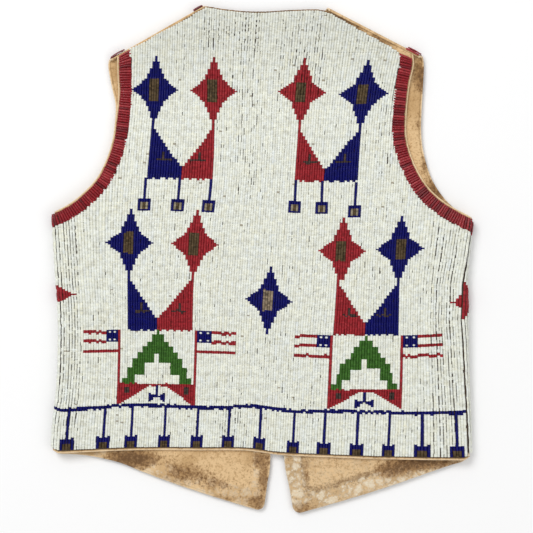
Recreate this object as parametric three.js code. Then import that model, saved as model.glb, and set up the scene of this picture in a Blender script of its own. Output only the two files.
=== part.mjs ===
// A child's fully beaded hide vest, laid flat with its fronts down and its back up.
//
// Three pieces of tanned hide make the vest: one back and two fronts, sewn together at the sides and
// the shoulders. Each is covered on its outer side with lane-stitched beadwork, a lane of red beads
// runs round each armhole, and another runs down each front from the neck.
//
// Millimetres. +X is the wearer's right, +Y the neck, +Z up from the surface that the vest lies on.
// Every piece is worked out on a pattern: a flat plan of the panel, whose X goes on past a side fold
// or a shoulder fold by the length of hide that is rolled round it. place() rolls the pattern up.
import * as THREE from "three";

// ---- Driving dimensions ----

const HIDE = 1.4; // the hide's thickness
const BEADS = 1.7; // the beadwork's thickness
const LAYER_GAP = 0.4; // between the hide and the beadwork on it
const SHEET_GAP = 0.4; // between the back and the fronts that it lies on
const SEAM_GAP = 0.4; // between two panels at a seam
const COVER = LAYER_GAP + BEADS; // from the hide's outer face to the top of the beads

const SIDE_RADIUS = 3.4; // of the hide's outer face round a side fold
const SHOULDER_RADIUS = 2.7; // and round a shoulder fold
const SIDE_SLOPE = 60; // how far in from a side fold the back comes down to lie on the fronts
const SHOULDER_SLOPE = 30;
const UNDERARM = 40; // the side folds end here
const UNEVEN = 0.8; // how far the back lifts where the hide isn't quite flat
const RIPPLES = { across: 31, along: 44, slant: 90, start: 0.7 }; // how long that rise and fall is

const LANE_RELIEF = 0.4; // how far the stitching between two lanes lies below the beads
const EDGE = 1.5; // bare hide outside the beads at the armholes and the fronts' edges
const HEM_EDGE = 2.7; // and at the hems
const NECK_EDGE = 0.8; // and at the back's neck
const ARM_BAND = 9.4; // width of the red lane round an armhole
const FRONT_BAND = 7.5; // width of the red lane down a front

// How far the beaded side folds reach from the middle, from the hem up.
const SIDE_FOLDS = [
  { y: -153, left: 166.4, right: 163.6 },
  { y: -130, left: 165.0, right: 163.2 },
  { y: -103, left: 161.9, right: 162.2 },
  { y: -72, left: 160.4, right: 161.2 },
  { y: -40, left: 160.6, right: 161.0 },
  { y: -12, left: 162.6, right: 160.6 },
  { y: 12, left: 164.0, right: 162.8 },
  { y: 34, left: 165.6, right: 165.7 },
];

// Where the two side seams lie: the angle round the fold from its top, 0 being the top.
const SIDE_SEAMS = { left: 2.6, right: 0.4 };

// The shoulder folds' outlines, and the length of the fold between the tip and the neck. The seam
// lies past the fold's axis by seam, and the back's beads start short of it by bare.
const SHOULDERS = {
  left: { tip: { x: -119, y: 156.3 }, neck: { x: -48, y: 196.8 }, seam: 1.6, bare: { tip: 0.2, neck: 0.5 } },
  right: { tip: { x: 124, y: 158.6 }, neck: { x: 54, y: 194.8 }, seam: 0.3, bare: { tip: 3.6, neck: 0.4 } },
};

// Cut edges of the armholes, from just below the shoulder to just above the side fold. alongShoulder
// is where the edge meets the shoulder seam, measured from the shoulder's tip, and underarm is
// the height where it meets the side seam.
const ARMHOLES = {
  back: {
    left: {
      alongShoulder: 5.5,
      underarm: 35,
      edge: [
        { x: -113.3, y: 142 },
        { x: -112.9, y: 128 },
        { x: -115.0, y: 109 },
        { x: -117.4, y: 93.3 },
        { x: -121.6, y: 79.5 },
        { x: -128.7, y: 64.6 },
        { x: -137.4, y: 54.2 },
        { x: -148.5, y: 44.6 },
        { x: -160, y: 38 },
      ],
    },
    right: {
      alongShoulder: 6.5,
      underarm: 32.4,
      edge: [
        { x: 117.6, y: 151 },
        { x: 114.6, y: 137 },
        { x: 112.4, y: 118 },
        { x: 111.9, y: 97 },
        { x: 115.8, y: 80.5 },
        { x: 123.4, y: 64.2 },
        { x: 131.4, y: 53.3 },
        { x: 141.4, y: 44.6 },
        { x: 152.6, y: 37.8 },
      ],
    },
  },
  front: {
    left: {
      alongShoulder: 0.8,
      underarm: 35,
      edge: [
        { x: -120.9, y: 150 },
        { x: -118, y: 134 },
        { x: -115.2, y: 121 },
        { x: -115.6, y: 109 },
        { x: -117.6, y: 93.5 },
        { x: -121.4, y: 79.3 },
        { x: -128, y: 64.2 },
        { x: -136.7, y: 53.8 },
        { x: -147.8, y: 44 },
        { x: -158, y: 38 },
      ],
    },
    right: {
      alongShoulder: 1.6,
      underarm: 29.5,
      edge: [
        { x: 125.8, y: 150 },
        { x: 125.1, y: 134 },
        { x: 124, y: 115 },
        { x: 123.7, y: 100 },
        { x: 125.2, y: 85 },
        { x: 129.9, y: 67.6 },
        { x: 136, y: 55.3 },
        { x: 144, y: 45 },
        { x: 152.6, y: 37.4 },
        { x: 160.3, y: 32.6 },
      ],
    },
  },
};

// The fronts' opening edges, from the point at the hem up to the V neck and along it.
const OPENINGS = {
  left: [
    { x: 0.4, y: -197.4 },
    { x: 3.4, y: -176 },
    { x: 5.9, y: -154 },
    { x: 4.6, y: -90 },
    { x: 1, y: 10 },
    { x: -3, y: 78 },
    { x: -12, y: 115 },
    { x: -28, y: 158 },
    { x: -42, y: 192 },
  ],
  right: [
    { x: 24.2, y: -199.8 },
    { x: 20.6, y: -178 },
    { x: 16.4, y: -154 },
    { x: 13.6, y: -90 },
    { x: 10, y: 10 },
    { x: 7, y: 78 },
    { x: 15, y: 115 },
    { x: 32, y: 158 },
    { x: 46.5, y: 191 },
  ],
};

// How the lower edges differ from straight lines between their ends. along runs from 0 at the
// wearer's left to 1 at the wearer's right.
const BACK_HEM_BOW = [
  { along: 0, rise: 0 },
  { along: 0.12, rise: 2.4 },
  { along: 0.24, rise: 4.0 },
  { along: 0.36, rise: 4.4 },
  { along: 0.48, rise: 4.7 },
  { along: 0.55, rise: 1.9 },
  { along: 0.66, rise: 0.6 },
  { along: 0.82, rise: -0.5 },
  { along: 1, rise: 0 },
];
const FRONT_HEM_BOWS = {
  left: [
    { along: 0, rise: 0 },
    { along: 0.14, rise: 5.0 },
    { along: 0.3, rise: 7.0 },
    { along: 0.42, rise: 4.8 },
    { along: 0.6, rise: 2.2 },
    { along: 0.8, rise: 0.7 },
    { along: 1, rise: 0 },
  ],
  right: [
    { along: 0, rise: 0 },
    { along: 0.25, rise: -0.6 },
    { along: 0.5, rise: -0.4 },
    { along: 0.75, rise: 1.2 },
    { along: 0.9, rise: 1.8 },
    { along: 1, rise: 0 },
  ],
};
const TIP_ROUND = { x: 1.2, y: 1.7 }; // how far the fronts' points are rounded off
const HEM_AT_SEAM = { back: { left: -151.8, right: -156.6 }, front: { left: -151.8, right: -156.6 } };
// How far the back's neck dips below the line between its corners.
const NECK_DIPS = [
  { along: 0, drop: 0 },
  { along: 0.06, drop: 0.5 },
  { along: 0.12, drop: 1.2 },
  { along: 0.21, drop: 1.6 },
  { along: 0.3, drop: 2.05 },
  { along: 0.45, drop: 1.6 },
  { along: 0.54, drop: 0.8 },
  { along: 0.64, drop: -0.4 },
  { along: 0.73, drop: -1.2 },
  { along: 0.83, drop: -1.9 },
  { along: 0.9, drop: -2.0 },
  { along: 1, drop: 0 },
];
const NECK_CORNERS = { left: -3, right: 1 }; // from the neck end of each shoulder fold, along it

// The whole vest is moved so that it is centred on its frame's origin.
const CENTRE = { x: -0.32, y: 0.21 };

// ---- Heights ----

const FRONT_LEVEL = COVER; // the fronts' outer hide faces, which look down
const BACK_LEVEL = FRONT_LEVEL + HIDE + SHEET_GAP + HIDE; // the back's, which looks up
const SIDE_RISE = FRONT_LEVEL + 2 * SIDE_RADIUS - BACK_LEVEL;
const SHOULDER_RISE = FRONT_LEVEL + 2 * SHOULDER_RADIUS - BACK_LEVEL;

// ---- Small tools ----

const SIGN = { left: -1, right: 1 };
const mix = (a, b, t) => a + (b - a) * t;
const clamp01 = (t) => Math.min(1, Math.max(0, t));
const vec = (p) => new THREE.Vector2(p.x, p.y);

// 1 at nothing, falling smoothly to 0 at 1.
const fade = (t) => (t >= 1 ? 0 : 0.5 * (1 + Math.cos(Math.PI * Math.max(0, t))));

// A smooth curve through a table's rows: the value of column `of` where column `by` is x.
function read(table, by, of, x) {
  const last = table.length - 1;
  const i = Math.min(last - 1, Math.max(0, table.findIndex((row) => row[by] > x) - 1));
  const k = x >= table[last][by] ? last - 1 : i;
  const slope = (n) => {
    const a = table[Math.max(0, n - 1)];
    const b = table[Math.min(last, n + 1)];
    return (b[of] - a[of]) / (b[by] - a[by]);
  };
  const [p, q] = [table[k], table[k + 1]];
  const step = q[by] - p[by];
  const t = clamp01((x - p[by]) / step);
  const rise = q[of] - p[of];
  const bend = (1 - t) * (slope(k) * step - rise) - t * (slope(k + 1) * step - rise);
  return p[of] + t * rise + t * (1 - t) * bend;
}

// The t from 0 to 1 where a rising or falling function reaches a value.
function solve(f, value) {
  let [low, high] = [0, 1];
  const rising = f(1) > f(0);
  for (let i = 0; i < 40; i += 1) {
    const middle = (low + high) / 2;
    if (f(middle) > value === rising) high = middle;
    else low = middle;
  }
  return (low + high) / 2;
}

// ---- The folds ----

const PROBE = 0.5; // how far to either side the back's slope is taken

const sideAxis = (side, y) => read(SIDE_FOLDS, "y", side, y) - SIDE_RADIUS - COVER;

// Each shoulder fold's axis: its tip, its direction to the neck, and its outward normal.
const shoulderAxes = Object.fromEntries(
  Object.entries(SHOULDERS).map(([side, { tip, neck }]) => {
    const along = vec(neck).sub(vec(tip));
    const length = along.length();
    along.normalize();
    const out = new THREE.Vector2(-along.y, along.x).multiplyScalar(-SIGN[side]);
    return [side, { start: vec(tip).addScaledVector(out, -SHOULDER_RADIUS), along, out, length }];
  }),
);

const beyondShoulder = (side, p) => vec(p).sub(shoulderAxes[side].start).dot(shoulderAxes[side].out);

function onShoulder(side, along, beyond) {
  const axis = shoulderAxes[side];
  return axis.start.clone().addScaledVector(axis.along, along).addScaledVector(axis.out, beyond);
}

// How far the back's hide face stands above BACK_LEVEL.
function backLift(x, y) {
  const side = x < 0 ? "left" : "right";
  const inward = Math.max(0, sideAxis(side, Math.min(y, UNDERARM)) - Math.abs(x));
  const bySide = fade(Math.hypot(inward, Math.max(0, y - UNDERARM)) / SIDE_SLOPE);
  const axis = shoulderAxes[side];
  const from = new THREE.Vector2(x, y).sub(axis.start);
  const reach = from.dot(axis.along);
  const past = Math.max(0, -reach, reach - axis.length);
  const byShoulder = fade(Math.hypot(past, Math.max(0, -from.dot(axis.out))) / SHOULDER_SLOPE);
  const { across, along, slant, start } = RIPPLES;
  const wave = 0.5 + 0.25 * (Math.sin(x / across + start) + Math.sin(y / along - x / slant));
  return SIDE_RISE * bySide + SHOULDER_RISE * byShoulder + UNEVEN * wave * (1 - bySide) * (1 - byShoulder);
}

// Rolls a pattern point round a fold. face is 1 for the back, which comes from above, and -1 for a front.
function roll(axisPoint, out, arc, radius, face) {
  const angle = arc / radius;
  const centre = FRONT_LEVEL + radius;
  const flat = new THREE.Vector3(out.x, out.y, 0);
  const normal = new THREE.Vector3(0, 0, -face);
  const point = new THREE.Vector3(axisPoint.x, axisPoint.y, centre);
  if (angle < Math.PI) {
    normal.set(0, 0, face * Math.cos(angle)).addScaledVector(flat, Math.sin(angle));
    return { point: point.addScaledVector(normal, radius), normal };
  }
  point.addScaledVector(flat, Math.PI * radius - arc).addScaledVector(normal, radius);
  return { point, normal };
}

// A pattern point's place on the hide's outer face, and the direction that the face looks in.
function place(face, p) {
  const side = p.x < 0 ? "left" : "right";
  const overShoulder = beyondShoulder(side, p);
  if (overShoulder > 0 && p.y > UNDERARM) {
    const out = shoulderAxes[side].out;
    return roll(vec(p).addScaledVector(out, -overShoulder), out, overShoulder, SHOULDER_RADIUS, face);
  }
  const axis = sideAxis(side, p.y);
  const overSide = Math.abs(p.x) - axis;
  if (overSide > 0) {
    const out = new THREE.Vector2(SIGN[side], 0);
    return roll(new THREE.Vector2(SIGN[side] * axis, p.y), out, overSide, SIDE_RADIUS, face);
  }
  if (face < 0) {
    return { point: new THREE.Vector3(p.x, p.y, FRONT_LEVEL), normal: new THREE.Vector3(0, 0, -1) };
  }
  const slopeX = (backLift(p.x + PROBE, p.y) - backLift(p.x - PROBE, p.y)) / (2 * PROBE);
  const slopeY = (backLift(p.x, p.y + PROBE) - backLift(p.x, p.y - PROBE)) / (2 * PROBE);
  return {
    point: new THREE.Vector3(p.x, p.y, BACK_LEVEL + backLift(p.x, p.y)),
    normal: new THREE.Vector3(-slopeX, -slopeY, 1).normalize(),
  };
}

// ---- Seams and cut edges, on the pattern ----

// The arc past a side fold's axis where a panel stops, half a seam gap short of the seam.
function sideSeamArc(panel, side) {
  const angle = panel === "back" ? SIDE_SEAMS[side] : Math.PI - SIDE_SEAMS[side];
  return SIDE_RADIUS * angle - SEAM_GAP / 2;
}

function shoulderSeamArc(panel, side) {
  const seam = SHOULDERS[side].seam;
  return (panel === "back" ? seam : Math.PI * SHOULDER_RADIUS - seam) - SEAM_GAP / 2;
}

const sideSeam = (panel, side, y) =>
  new THREE.Vector2(SIGN[side] * (sideAxis(side, y) + sideSeamArc(panel, side)), y);

// A cut edge, with a way to step in from it. Near its ends the step turns to follow the seams there,
// so that a lane beside the edge ends square on them.
const STEP_TURN = 0.09; // the share of an edge over which it turns

function cutEdge(points, startAlong, endAlong, inward) {
  const curve = new THREE.SplineCurve(points);
  const normalAt = (t) => {
    const tangent = curve.getTangentAt(t);
    return new THREE.Vector2(-tangent.y, tangent.x).multiplyScalar(inward);
  };
  const square = (along, normal) => along.clone().divideScalar(along.dot(normal));
  return (t, step) => {
    const way = normalAt(t);
    if (t < STEP_TURN) way.lerp(square(startAlong, normalAt(0)), fade(t / STEP_TURN));
    if (t > 1 - STEP_TURN) way.lerp(square(endAlong, normalAt(1)), fade((1 - t) / STEP_TURN));
    return curve.getPointAt(t).addScaledVector(way, step);
  };
}

// An armhole's edge: t runs from the shoulder seam, 0, to the side seam, 1.
function armholeEdge(panel, side) {
  const { alongShoulder, underarm, edge } = ARMHOLES[panel][side];
  const first = onShoulder(side, alongShoulder, shoulderSeamArc(panel, side));
  const last = sideSeam(panel, side, underarm);
  const downSeam = sideSeam(panel, side, underarm - ARM_BAND - EDGE).sub(last).normalize();
  const points = [first, ...edge.map(vec), last];
  return cutEdge(points, shoulderAxes[side].along, downSeam, -SIGN[side]);
}

// A front's opening edge: t runs from the point at the hem, 0, to the shoulder seam, 1.
const NECK_OVERRUN = 2; // how far past the shoulder fold's neck end it meets the seam

function openingEdge(side) {
  const points = OPENINGS[side].map(vec);
  const length = shoulderAxes[side].length;
  points.push(onShoulder(side, length + NECK_OVERRUN, shoulderSeamArc("front", side)));
  const hem = sideSeam("front", side, HEM_AT_SEAM.front[side]).sub(points[0]).normalize();
  return cutEdge(points, hem, shoulderAxes[side].along.clone().negate(), -SIGN[side]);
}

// ---- Walls ----

// A closed wall over a grid of pattern points, from inner to outer above the hide's outer face. Each
// row is what pattern takes to find a point in it, for a column's share of the way across.
function wall(name, material, face, columns, rows, pattern, inner, outer) {
  const positions = [];
  [inner, outer].forEach((height) =>
    rows.forEach((row) =>
      columns.forEach((u) => {
        const { point, normal } = place(face, pattern(u, row));
        point.addScaledVector(normal, typeof height === "function" ? height(u, row) : height);
        positions.push(point.x, point.y, point.z);
      }),
    ),
  );
  const [across, up] = [columns.length, rows.length];
  const at = (layer, i, j) => layer * across * up + j * across + i;
  const index = [];
  const corner = (k) => new THREE.Vector3().fromArray(positions, 3 * k);
  const quad = (a, b, c, d) => {
    const longer = corner(a).distanceTo(corner(c)) > corner(b).distanceTo(corner(d));
    index.push(...(longer ? [a, b, d, b, c, d] : [a, b, c, a, c, d]));
  };
  for (let j = 0; j < up - 1; j += 1) {
    for (let i = 0; i < across - 1; i += 1) {
      quad(at(1, i, j), at(1, i + 1, j), at(1, i + 1, j + 1), at(1, i, j + 1));
      quad(at(0, i, j), at(0, i, j + 1), at(0, i + 1, j + 1), at(0, i + 1, j));
    }
    quad(at(0, 0, j), at(1, 0, j), at(1, 0, j + 1), at(0, 0, j + 1));
    quad(at(0, across - 1, j), at(0, across - 1, j + 1), at(1, across - 1, j + 1), at(1, across - 1, j));
  }
  for (let i = 0; i < across - 1; i += 1) {
    quad(at(0, i, 0), at(0, i + 1, 0), at(1, i + 1, 0), at(1, i, 0));
    quad(at(0, i, up - 1), at(1, i, up - 1), at(1, i + 1, up - 1), at(0, i + 1, up - 1));
  }
  if (face < 0) index.reverse(); // a front's outer face looks down, so its faces turn round
  const geometry = new THREE.BufferGeometry();
  geometry.setAttribute("position", new THREE.Float32BufferAttribute(positions, 3));
  geometry.setIndex(index);
  geometry.computeVertexNormals();
  const mesh = new THREE.Mesh(geometry, material);
  mesh.name = name;
  return mesh;
}

const spread = (count) => Array.from({ length: count + 1 }, (_, i) => i / count);
const joined = (...lists) => [...new Set(lists.flat())].sort((a, b) => a - b);

// Grid columns, as shares of a row from the wearer's left: close together where a fold is.
const BACK_COLUMNS = [
  ...[0, 0.007, 0.014, 0.021, 0.028, 0.037, 0.06, 0.1, 0.15, 0.21],
  ...[0.3, 0.43, 0.57, 0.7],
  ...[0.79, 0.85, 0.9, 0.94, 0.975, 0.993, 1],
];
const FRONT_COLUMNS = {
  left: [0, 0.008, 0.02, 0.05, 0.12, 0.25, 0.4, 0.6, 0.8, 0.974, 1],
  right: [0, 0.014, 0.028, 0.042, 0.056, 0.075, 0.12, 0.22, 0.36, 0.52, 0.68, 0.84, 0.972, 1],
};

// Rows, as shares of each run up a panel's ends. Round the armhole they are close together at the
// underarm, where the edge crosses the side fold.
const UNDERARM_ROWS = [0.004, 0.009, 0.016, 0.026, 0.045];

// ---- The back ----

const BACK_STEPS = { hide: 0, beads: EDGE + ARM_BAND + SEAM_GAP };
const BACK_LANES = { side: 18, armhole: 13, shoulder: 4 };
const BACK_HIDE_ROWS = {
  side: joined(spread(9), [0.93, 0.965]),
  armhole: joined(spread(11), UNDERARM_ROWS),
  shoulder: spread(3),
};
const BACK_BEAD_ROWS = {
  side: spread(2 * BACK_LANES.side),
  armhole: joined(spread(2 * BACK_LANES.armhole), UNDERARM_ROWS),
  shoulder: spread(2 * BACK_LANES.shoulder),
};

// A back layer's ends at one side, as three runs of rows: up the side seam, round the armhole and
// along the shoulder. Each gives a pattern point for a share of the run.
function backRuns(layer, side) {
  const beaded = layer === "beads";
  const step = BACK_STEPS[layer];
  const edge = armholeEdge("back", side);
  const hem = HEM_AT_SEAM.back[side] + (beaded ? HEM_EDGE : 0);
  const corner = edge(1, step).y;
  const bare = SHOULDERS[side].bare;
  const { length } = shoulderAxes[side];
  const seamArc = shoulderSeamArc("back", side);
  const shoulderEnd = (along) => {
    const margin = beaded ? mix(bare.tip, bare.neck, along / length) : 0;
    return onShoulder(side, along, seamArc - margin);
  };
  const top = solve((t) => beyondShoulder(side, edge(t, step)), beaded ? seamArc - bare.tip : seamArc);
  const start = edge(beaded ? top : 0, step);
  const alongStart = start.clone().sub(shoulderAxes[side].start).dot(shoulderAxes[side].along);
  const neck = length - NECK_CORNERS[side];
  const armT = (share) => {
    const height = mix(corner, start.y, share);
    return mix(beaded ? top : 0, 1, solve((t) => edge(mix(beaded ? top : 0, 1, t), step).y, height));
  };
  return {
    edge,
    armT,
    side: (share) => sideSeam("back", side, mix(hem, corner, share)),
    armhole: (share) => edge(armT(share), step),
    shoulder: (share) => shoulderEnd(mix(alongStart, neck, share)),
  };
}

// Rows from the hem up: the run that each is in, and its share of that run.
function listRows(runs) {
  const rows = [{ run: "side", share: 0 }];
  Object.entries(runs).forEach(([run, shares]) => {
    shares.slice(1).forEach((share) => rows.push({ run, share }));
  });
  return rows;
}

function backPattern(layer) {
  const ends = { left: backRuns(layer, "left"), right: backRuns(layer, "right") };
  const neckDrop = layer === "beads" ? NECK_EDGE : 0;
  return (u, { run, share }) => {
    const point = ends.left[run](share).lerp(ends.right[run](share), u);
    const hemHold = run === "side" ? 1 - share : 0;
    const neckHold = run === "shoulder" ? share : 0;
    point.y += hemHold * read(BACK_HEM_BOW, "along", "rise", u);
    point.y -= neckHold * (neckDrop + read(NECK_DIPS, "along", "drop", u));
    return point;
  };
}

// The beads' height over a row: full in the middle of a lane, less on the line between two lanes.
function laneTop({ run, share }) {
  const phase = share * BACK_LANES[run];
  const fromLine = Math.abs(phase - Math.round(phase));
  return COVER - LANE_RELIEF * (1 - 2 * fromLine);
}

// ---- The fronts ----

const FRONT_ROWS = {
  side: joined(spread(8), 0.03),
  armhole: joined(spread(11), [0.006, 0.014, 0.026, 0.042, 0.07]),
  fold: spread(4),
};
const LANE_STATIONS = { underarm: 10, fold: 10 }; // along a lane of red beads, where it is rolled
const UNDERARM_END = 0.9; // the share of an armhole's edge where it has left the side fold
const HEM_START = 0.008; // the opening's lane starts this share of the edge above the point
const FRONT_BEADS_OVER = 1.5; // how far a front's beads go past the shoulder fold's axis
const FOLD_OVERRUN = 1.6; // the armhole lane's stations reach this many times as far as the fold's axis
const OPENING_LEAD = 0.02; // and the opening lane's start this share of its edge before the axis
const KNEE = 0.6; // the share of the opening, up to the fold, beside the rows below the armhole

// A front layer's two ends of each row, at the armhole side and at the opening.
function frontRuns(layer, side) {
  const beaded = layer === "beads";
  const arm = armholeEdge("front", side);
  const opening = openingEdge(side);
  const armStep = beaded ? EDGE + ARM_BAND + SEAM_GAP : 0;
  const openStep = beaded ? EDGE + FRONT_BAND + SEAM_GAP : 0;
  const limit = beaded ? FRONT_BEADS_OVER : shoulderSeamArc("front", side);
  const beyond = (edge, step) => (t) => beyondShoulder(side, edge(t, step));
  const armAxis = solve(beyond(arm, armStep), 0);
  const armTop = beaded ? solve(beyond(arm, armStep), limit) : 0;
  const upperHalf = (t) => mix(0.5, 1, t);
  const openWhere = (value) => upperHalf(solve((t) => beyond(opening, openStep)(upperHalf(t)), value));
  const openAxis = openWhere(0);
  const openTop = beaded ? openWhere(limit) : 1;
  const hem = HEM_AT_SEAM.front[side] + (beaded ? HEM_EDGE : 0);
  const corner = arm(1, armStep).y;
  const knee = KNEE * openAxis;
  const openTs = {
    side: (share) => mix(0, knee, share),
    armhole: (share) => mix(knee, openAxis, share),
    fold: (share) => mix(openAxis, openTop, share),
  };
  return {
    arm: {
      side: (share) => sideSeam("front", side, mix(hem, corner, share)),
      armhole: (share) => arm(mix(1, armAxis, share), armStep),
      fold: (share) => arm(mix(armAxis, armTop, share), armStep),
    },
    opening: {
      side: (share) => opening(openTs.side(share), openStep),
      armhole: (share) => opening(openTs.armhole(share), openStep),
      fold: (share) => opening(openTs.fold(share), openStep),
    },
    openTs,
    armholeAt: (share) => mix(1, armAxis, share),
    armAxis,
    openAxis,
    openTop,
  };
}

function frontPattern(layer, side) {
  const runs = frontRuns(layer, side);
  const lift = layer === "beads" ? HEM_EDGE : 0;
  return (u, { run, share }) => {
    const hemHold = run === "side" ? 1 - share : 0;
    const point = runs.arm[run](share).lerp(runs.opening[run](share), u);
    const along = side === "left" ? u : 1 - u;
    point.y += hemHold * (read(FRONT_HEM_BOWS[side], "along", "rise", along) + lift * u);
    if (u * hemHold === 1) point.add(new THREE.Vector2(SIGN[side] * TIP_ROUND.x, TIP_ROUND.y));
    return point;
  };
}

// ---- Building ----

const finish = (color, roughness) => new THREE.MeshStandardMaterial({ color, roughness, metalness: 0 });
const hide = finish(0xd7b487, 0.9);
const whiteBeads = finish(0xdfdccf, 0.35);
const redBeads = finish(0x8c232d, 0.35);

const vest = new THREE.Group();
vest.position.set(-CENTRE.x, -CENTRE.y, 0);

const hideRows = listRows(BACK_HIDE_ROWS);
vest.add(wall("back_hide", hide, 1, BACK_COLUMNS, hideRows, backPattern("hide"), -HIDE, 0));

const laneRows = listRows(BACK_BEAD_ROWS);
const overLanes = (u, row) => laneTop(row);
vest.add(
  wall("back_beadwork", whiteBeads, 1, BACK_COLUMNS, laneRows, backPattern("beads"), LAYER_GAP, overLanes),
);

// A lane of beads beside a cut edge, with stations along it. On the back its middle stands highest.
const LANE_MIDDLE = 0.5;

function lane(name, face, edge, stations, from, width, flip) {
  const columns = flip ? [1, LANE_MIDDLE, 0] : [0, LANE_MIDDLE, 1];
  const top = (u) => COVER - (face > 0 && u !== LANE_MIDDLE ? LANE_RELIEF : 0);
  const pattern = (u, t) => edge(t, from + width * u);
  return wall(name, redBeads, face, columns, stations, pattern, LAYER_GAP, top);
}

for (const side of ["left", "right"]) {
  const flip = side === "left";
  const back = backRuns("beads", side);
  const underarm = spread(LANE_STATIONS.underarm).map((share) => mix(1, UNDERARM_END, share));
  const rows = joined(BACK_BEAD_ROWS.armhole.map(back.armT), underarm).reverse();
  vest.add(lane(`back_armhole_beads_${side}`, 1, back.edge, rows, EDGE, ARM_BAND, !flip));

  const frontRows = listRows(FRONT_ROWS);
  ["hide", "beads"].forEach((layer) => {
    const beaded = layer === "beads";
    const pattern = frontPattern(layer, side);
    const columns = flip ? FRONT_COLUMNS.left : [...FRONT_COLUMNS.right].reverse();
    const name = beaded ? `front_beadwork_${side}` : `front_hide_${side}`;
    const [inner, outer] = beaded ? [LAYER_GAP, COVER] : [-HIDE, 0];
    vest.add(wall(name, beaded ? whiteBeads : hide, -1, columns, frontRows, pattern, inner, outer));
  });

  const front = frontRuns("beads", side);
  const arm = armholeEdge("front", side);
  const stations = joined(
    FRONT_ROWS.armhole.map(front.armholeAt),
    underarm,
    spread(LANE_STATIONS.fold).map((share) => FOLD_OVERRUN * front.armAxis * share),
  ).reverse();
  vest.add(lane(`front_armhole_beads_${side}`, -1, arm, stations, EDGE, ARM_BAND, !flip));

  const opening = openingEdge(side);
  const topEnd = side === "left" ? 1 : front.openTop;
  const openStations = joined(
    HEM_START,
    FRONT_ROWS.side.slice(1).map(front.openTs.side),
    FRONT_ROWS.armhole.map(front.openTs.armhole),
    spread(LANE_STATIONS.fold).map((share) => mix(front.openAxis - OPENING_LEAD, topEnd, share)),
  );
  vest.add(lane(`front_edge_beads_${side}`, -1, opening, openStations, EDGE, FRONT_BAND, flip));
}

export default vest;
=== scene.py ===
import math

import bmesh
import bpy
import numpy as np
from mathutils import Matrix, Vector


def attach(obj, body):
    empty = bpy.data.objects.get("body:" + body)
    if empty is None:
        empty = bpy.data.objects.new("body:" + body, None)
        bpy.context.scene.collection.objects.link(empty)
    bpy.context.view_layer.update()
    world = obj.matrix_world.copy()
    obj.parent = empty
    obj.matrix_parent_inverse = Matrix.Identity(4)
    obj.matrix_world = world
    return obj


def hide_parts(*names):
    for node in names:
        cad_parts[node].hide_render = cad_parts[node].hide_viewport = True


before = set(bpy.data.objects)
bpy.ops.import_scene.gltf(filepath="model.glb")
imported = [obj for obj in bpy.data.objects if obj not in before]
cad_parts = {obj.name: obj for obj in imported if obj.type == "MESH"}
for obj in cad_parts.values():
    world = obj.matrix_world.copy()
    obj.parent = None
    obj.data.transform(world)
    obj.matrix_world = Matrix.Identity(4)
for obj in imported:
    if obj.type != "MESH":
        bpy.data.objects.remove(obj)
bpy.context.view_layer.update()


# ---- The table that the vest lies on ----
# A smooth pale table top under a broad soft lamp, with a weaker one from the other side. The vest lies
# face down with its neck away from the viewer, and the camera looks straight down on it.

def linear(red, green, blue):
    """A colour given as numbers up to 255, as the shaders take it."""
    parts = [value / 255 for value in (red, green, blue)]
    return tuple(p / 12.92 if p <= 0.04045 else ((p + 0.055) / 1.055) ** 2.4 for p in parts)


TABLE_SIZE = 6.0
TABLE_GREY = 0.93
STUDIO_STRENGTH = 0.62
table_mesh = bpy.data.meshes.new("table")
bm = bmesh.new()
bmesh.ops.create_grid(bm, x_segments=2, y_segments=2, size=TABLE_SIZE / 2)
bm.to_mesh(table_mesh)
bm.free()
table = bpy.data.objects.new("table", table_mesh)
bpy.context.scene.collection.objects.link(table)
table_paint = bpy.data.materials.new("table paint")
table_paint.use_nodes = True
table_shader = table_paint.node_tree.nodes["Principled BSDF"]
table_shader.inputs["Base Color"].default_value = (TABLE_GREY, TABLE_GREY, TABLE_GREY, 1)
table_shader.inputs["Roughness"].default_value = 0.9
table_mesh.materials.append(table_paint)

world = bpy.data.worlds.new("studio")
bpy.context.scene.world = world
world.use_nodes = True
studio_light = world.node_tree.nodes["Background"]
studio_light.inputs["Color"].default_value = (1.0, 1.0, 1.0, 1)
studio_light.inputs["Strength"].default_value = STUDIO_STRENGTH

LAMPS = [
    {"name": "key", "at": (-0.9, 1.1, 1.7), "size": 1.1, "watts": 24},
    {"name": "fill", "at": (1.3, -0.6, 1.6), "size": 1.6, "watts": 7},
]
for lamp in LAMPS:
    data = bpy.data.lights.new(lamp["name"], "AREA")
    data.shape = "DISK"
    data.size = lamp["size"]
    data.energy = lamp["watts"]
    light = bpy.data.objects.new(lamp["name"], data)
    light.location = lamp["at"]
    light.rotation_euler = (-Vector(lamp["at"])).to_track_quat("-Z", "Y").to_euler()
    bpy.context.scene.collection.objects.link(light)

CAMERA_HEIGHT = 1.161
lens = bpy.data.cameras.new("camera")
lens.lens = 100
lens.sensor_width = 36
camera = bpy.data.objects.new("camera", lens)
camera.location = (0.0031, -0.0059, CAMERA_HEIGHT)
bpy.context.scene.collection.objects.link(camera)
bpy.context.scene.camera = camera
bpy.context.scene.view_settings.view_transform = "Standard"


# ---- The back's hide ----
# One piece of soft brain-tanned hide, cut with a dipped neck, sloped shoulders and deep armholes. It is
# cut on a flat pattern in millimetres, and rolled round a small fold at each side and each shoulder.

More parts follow.
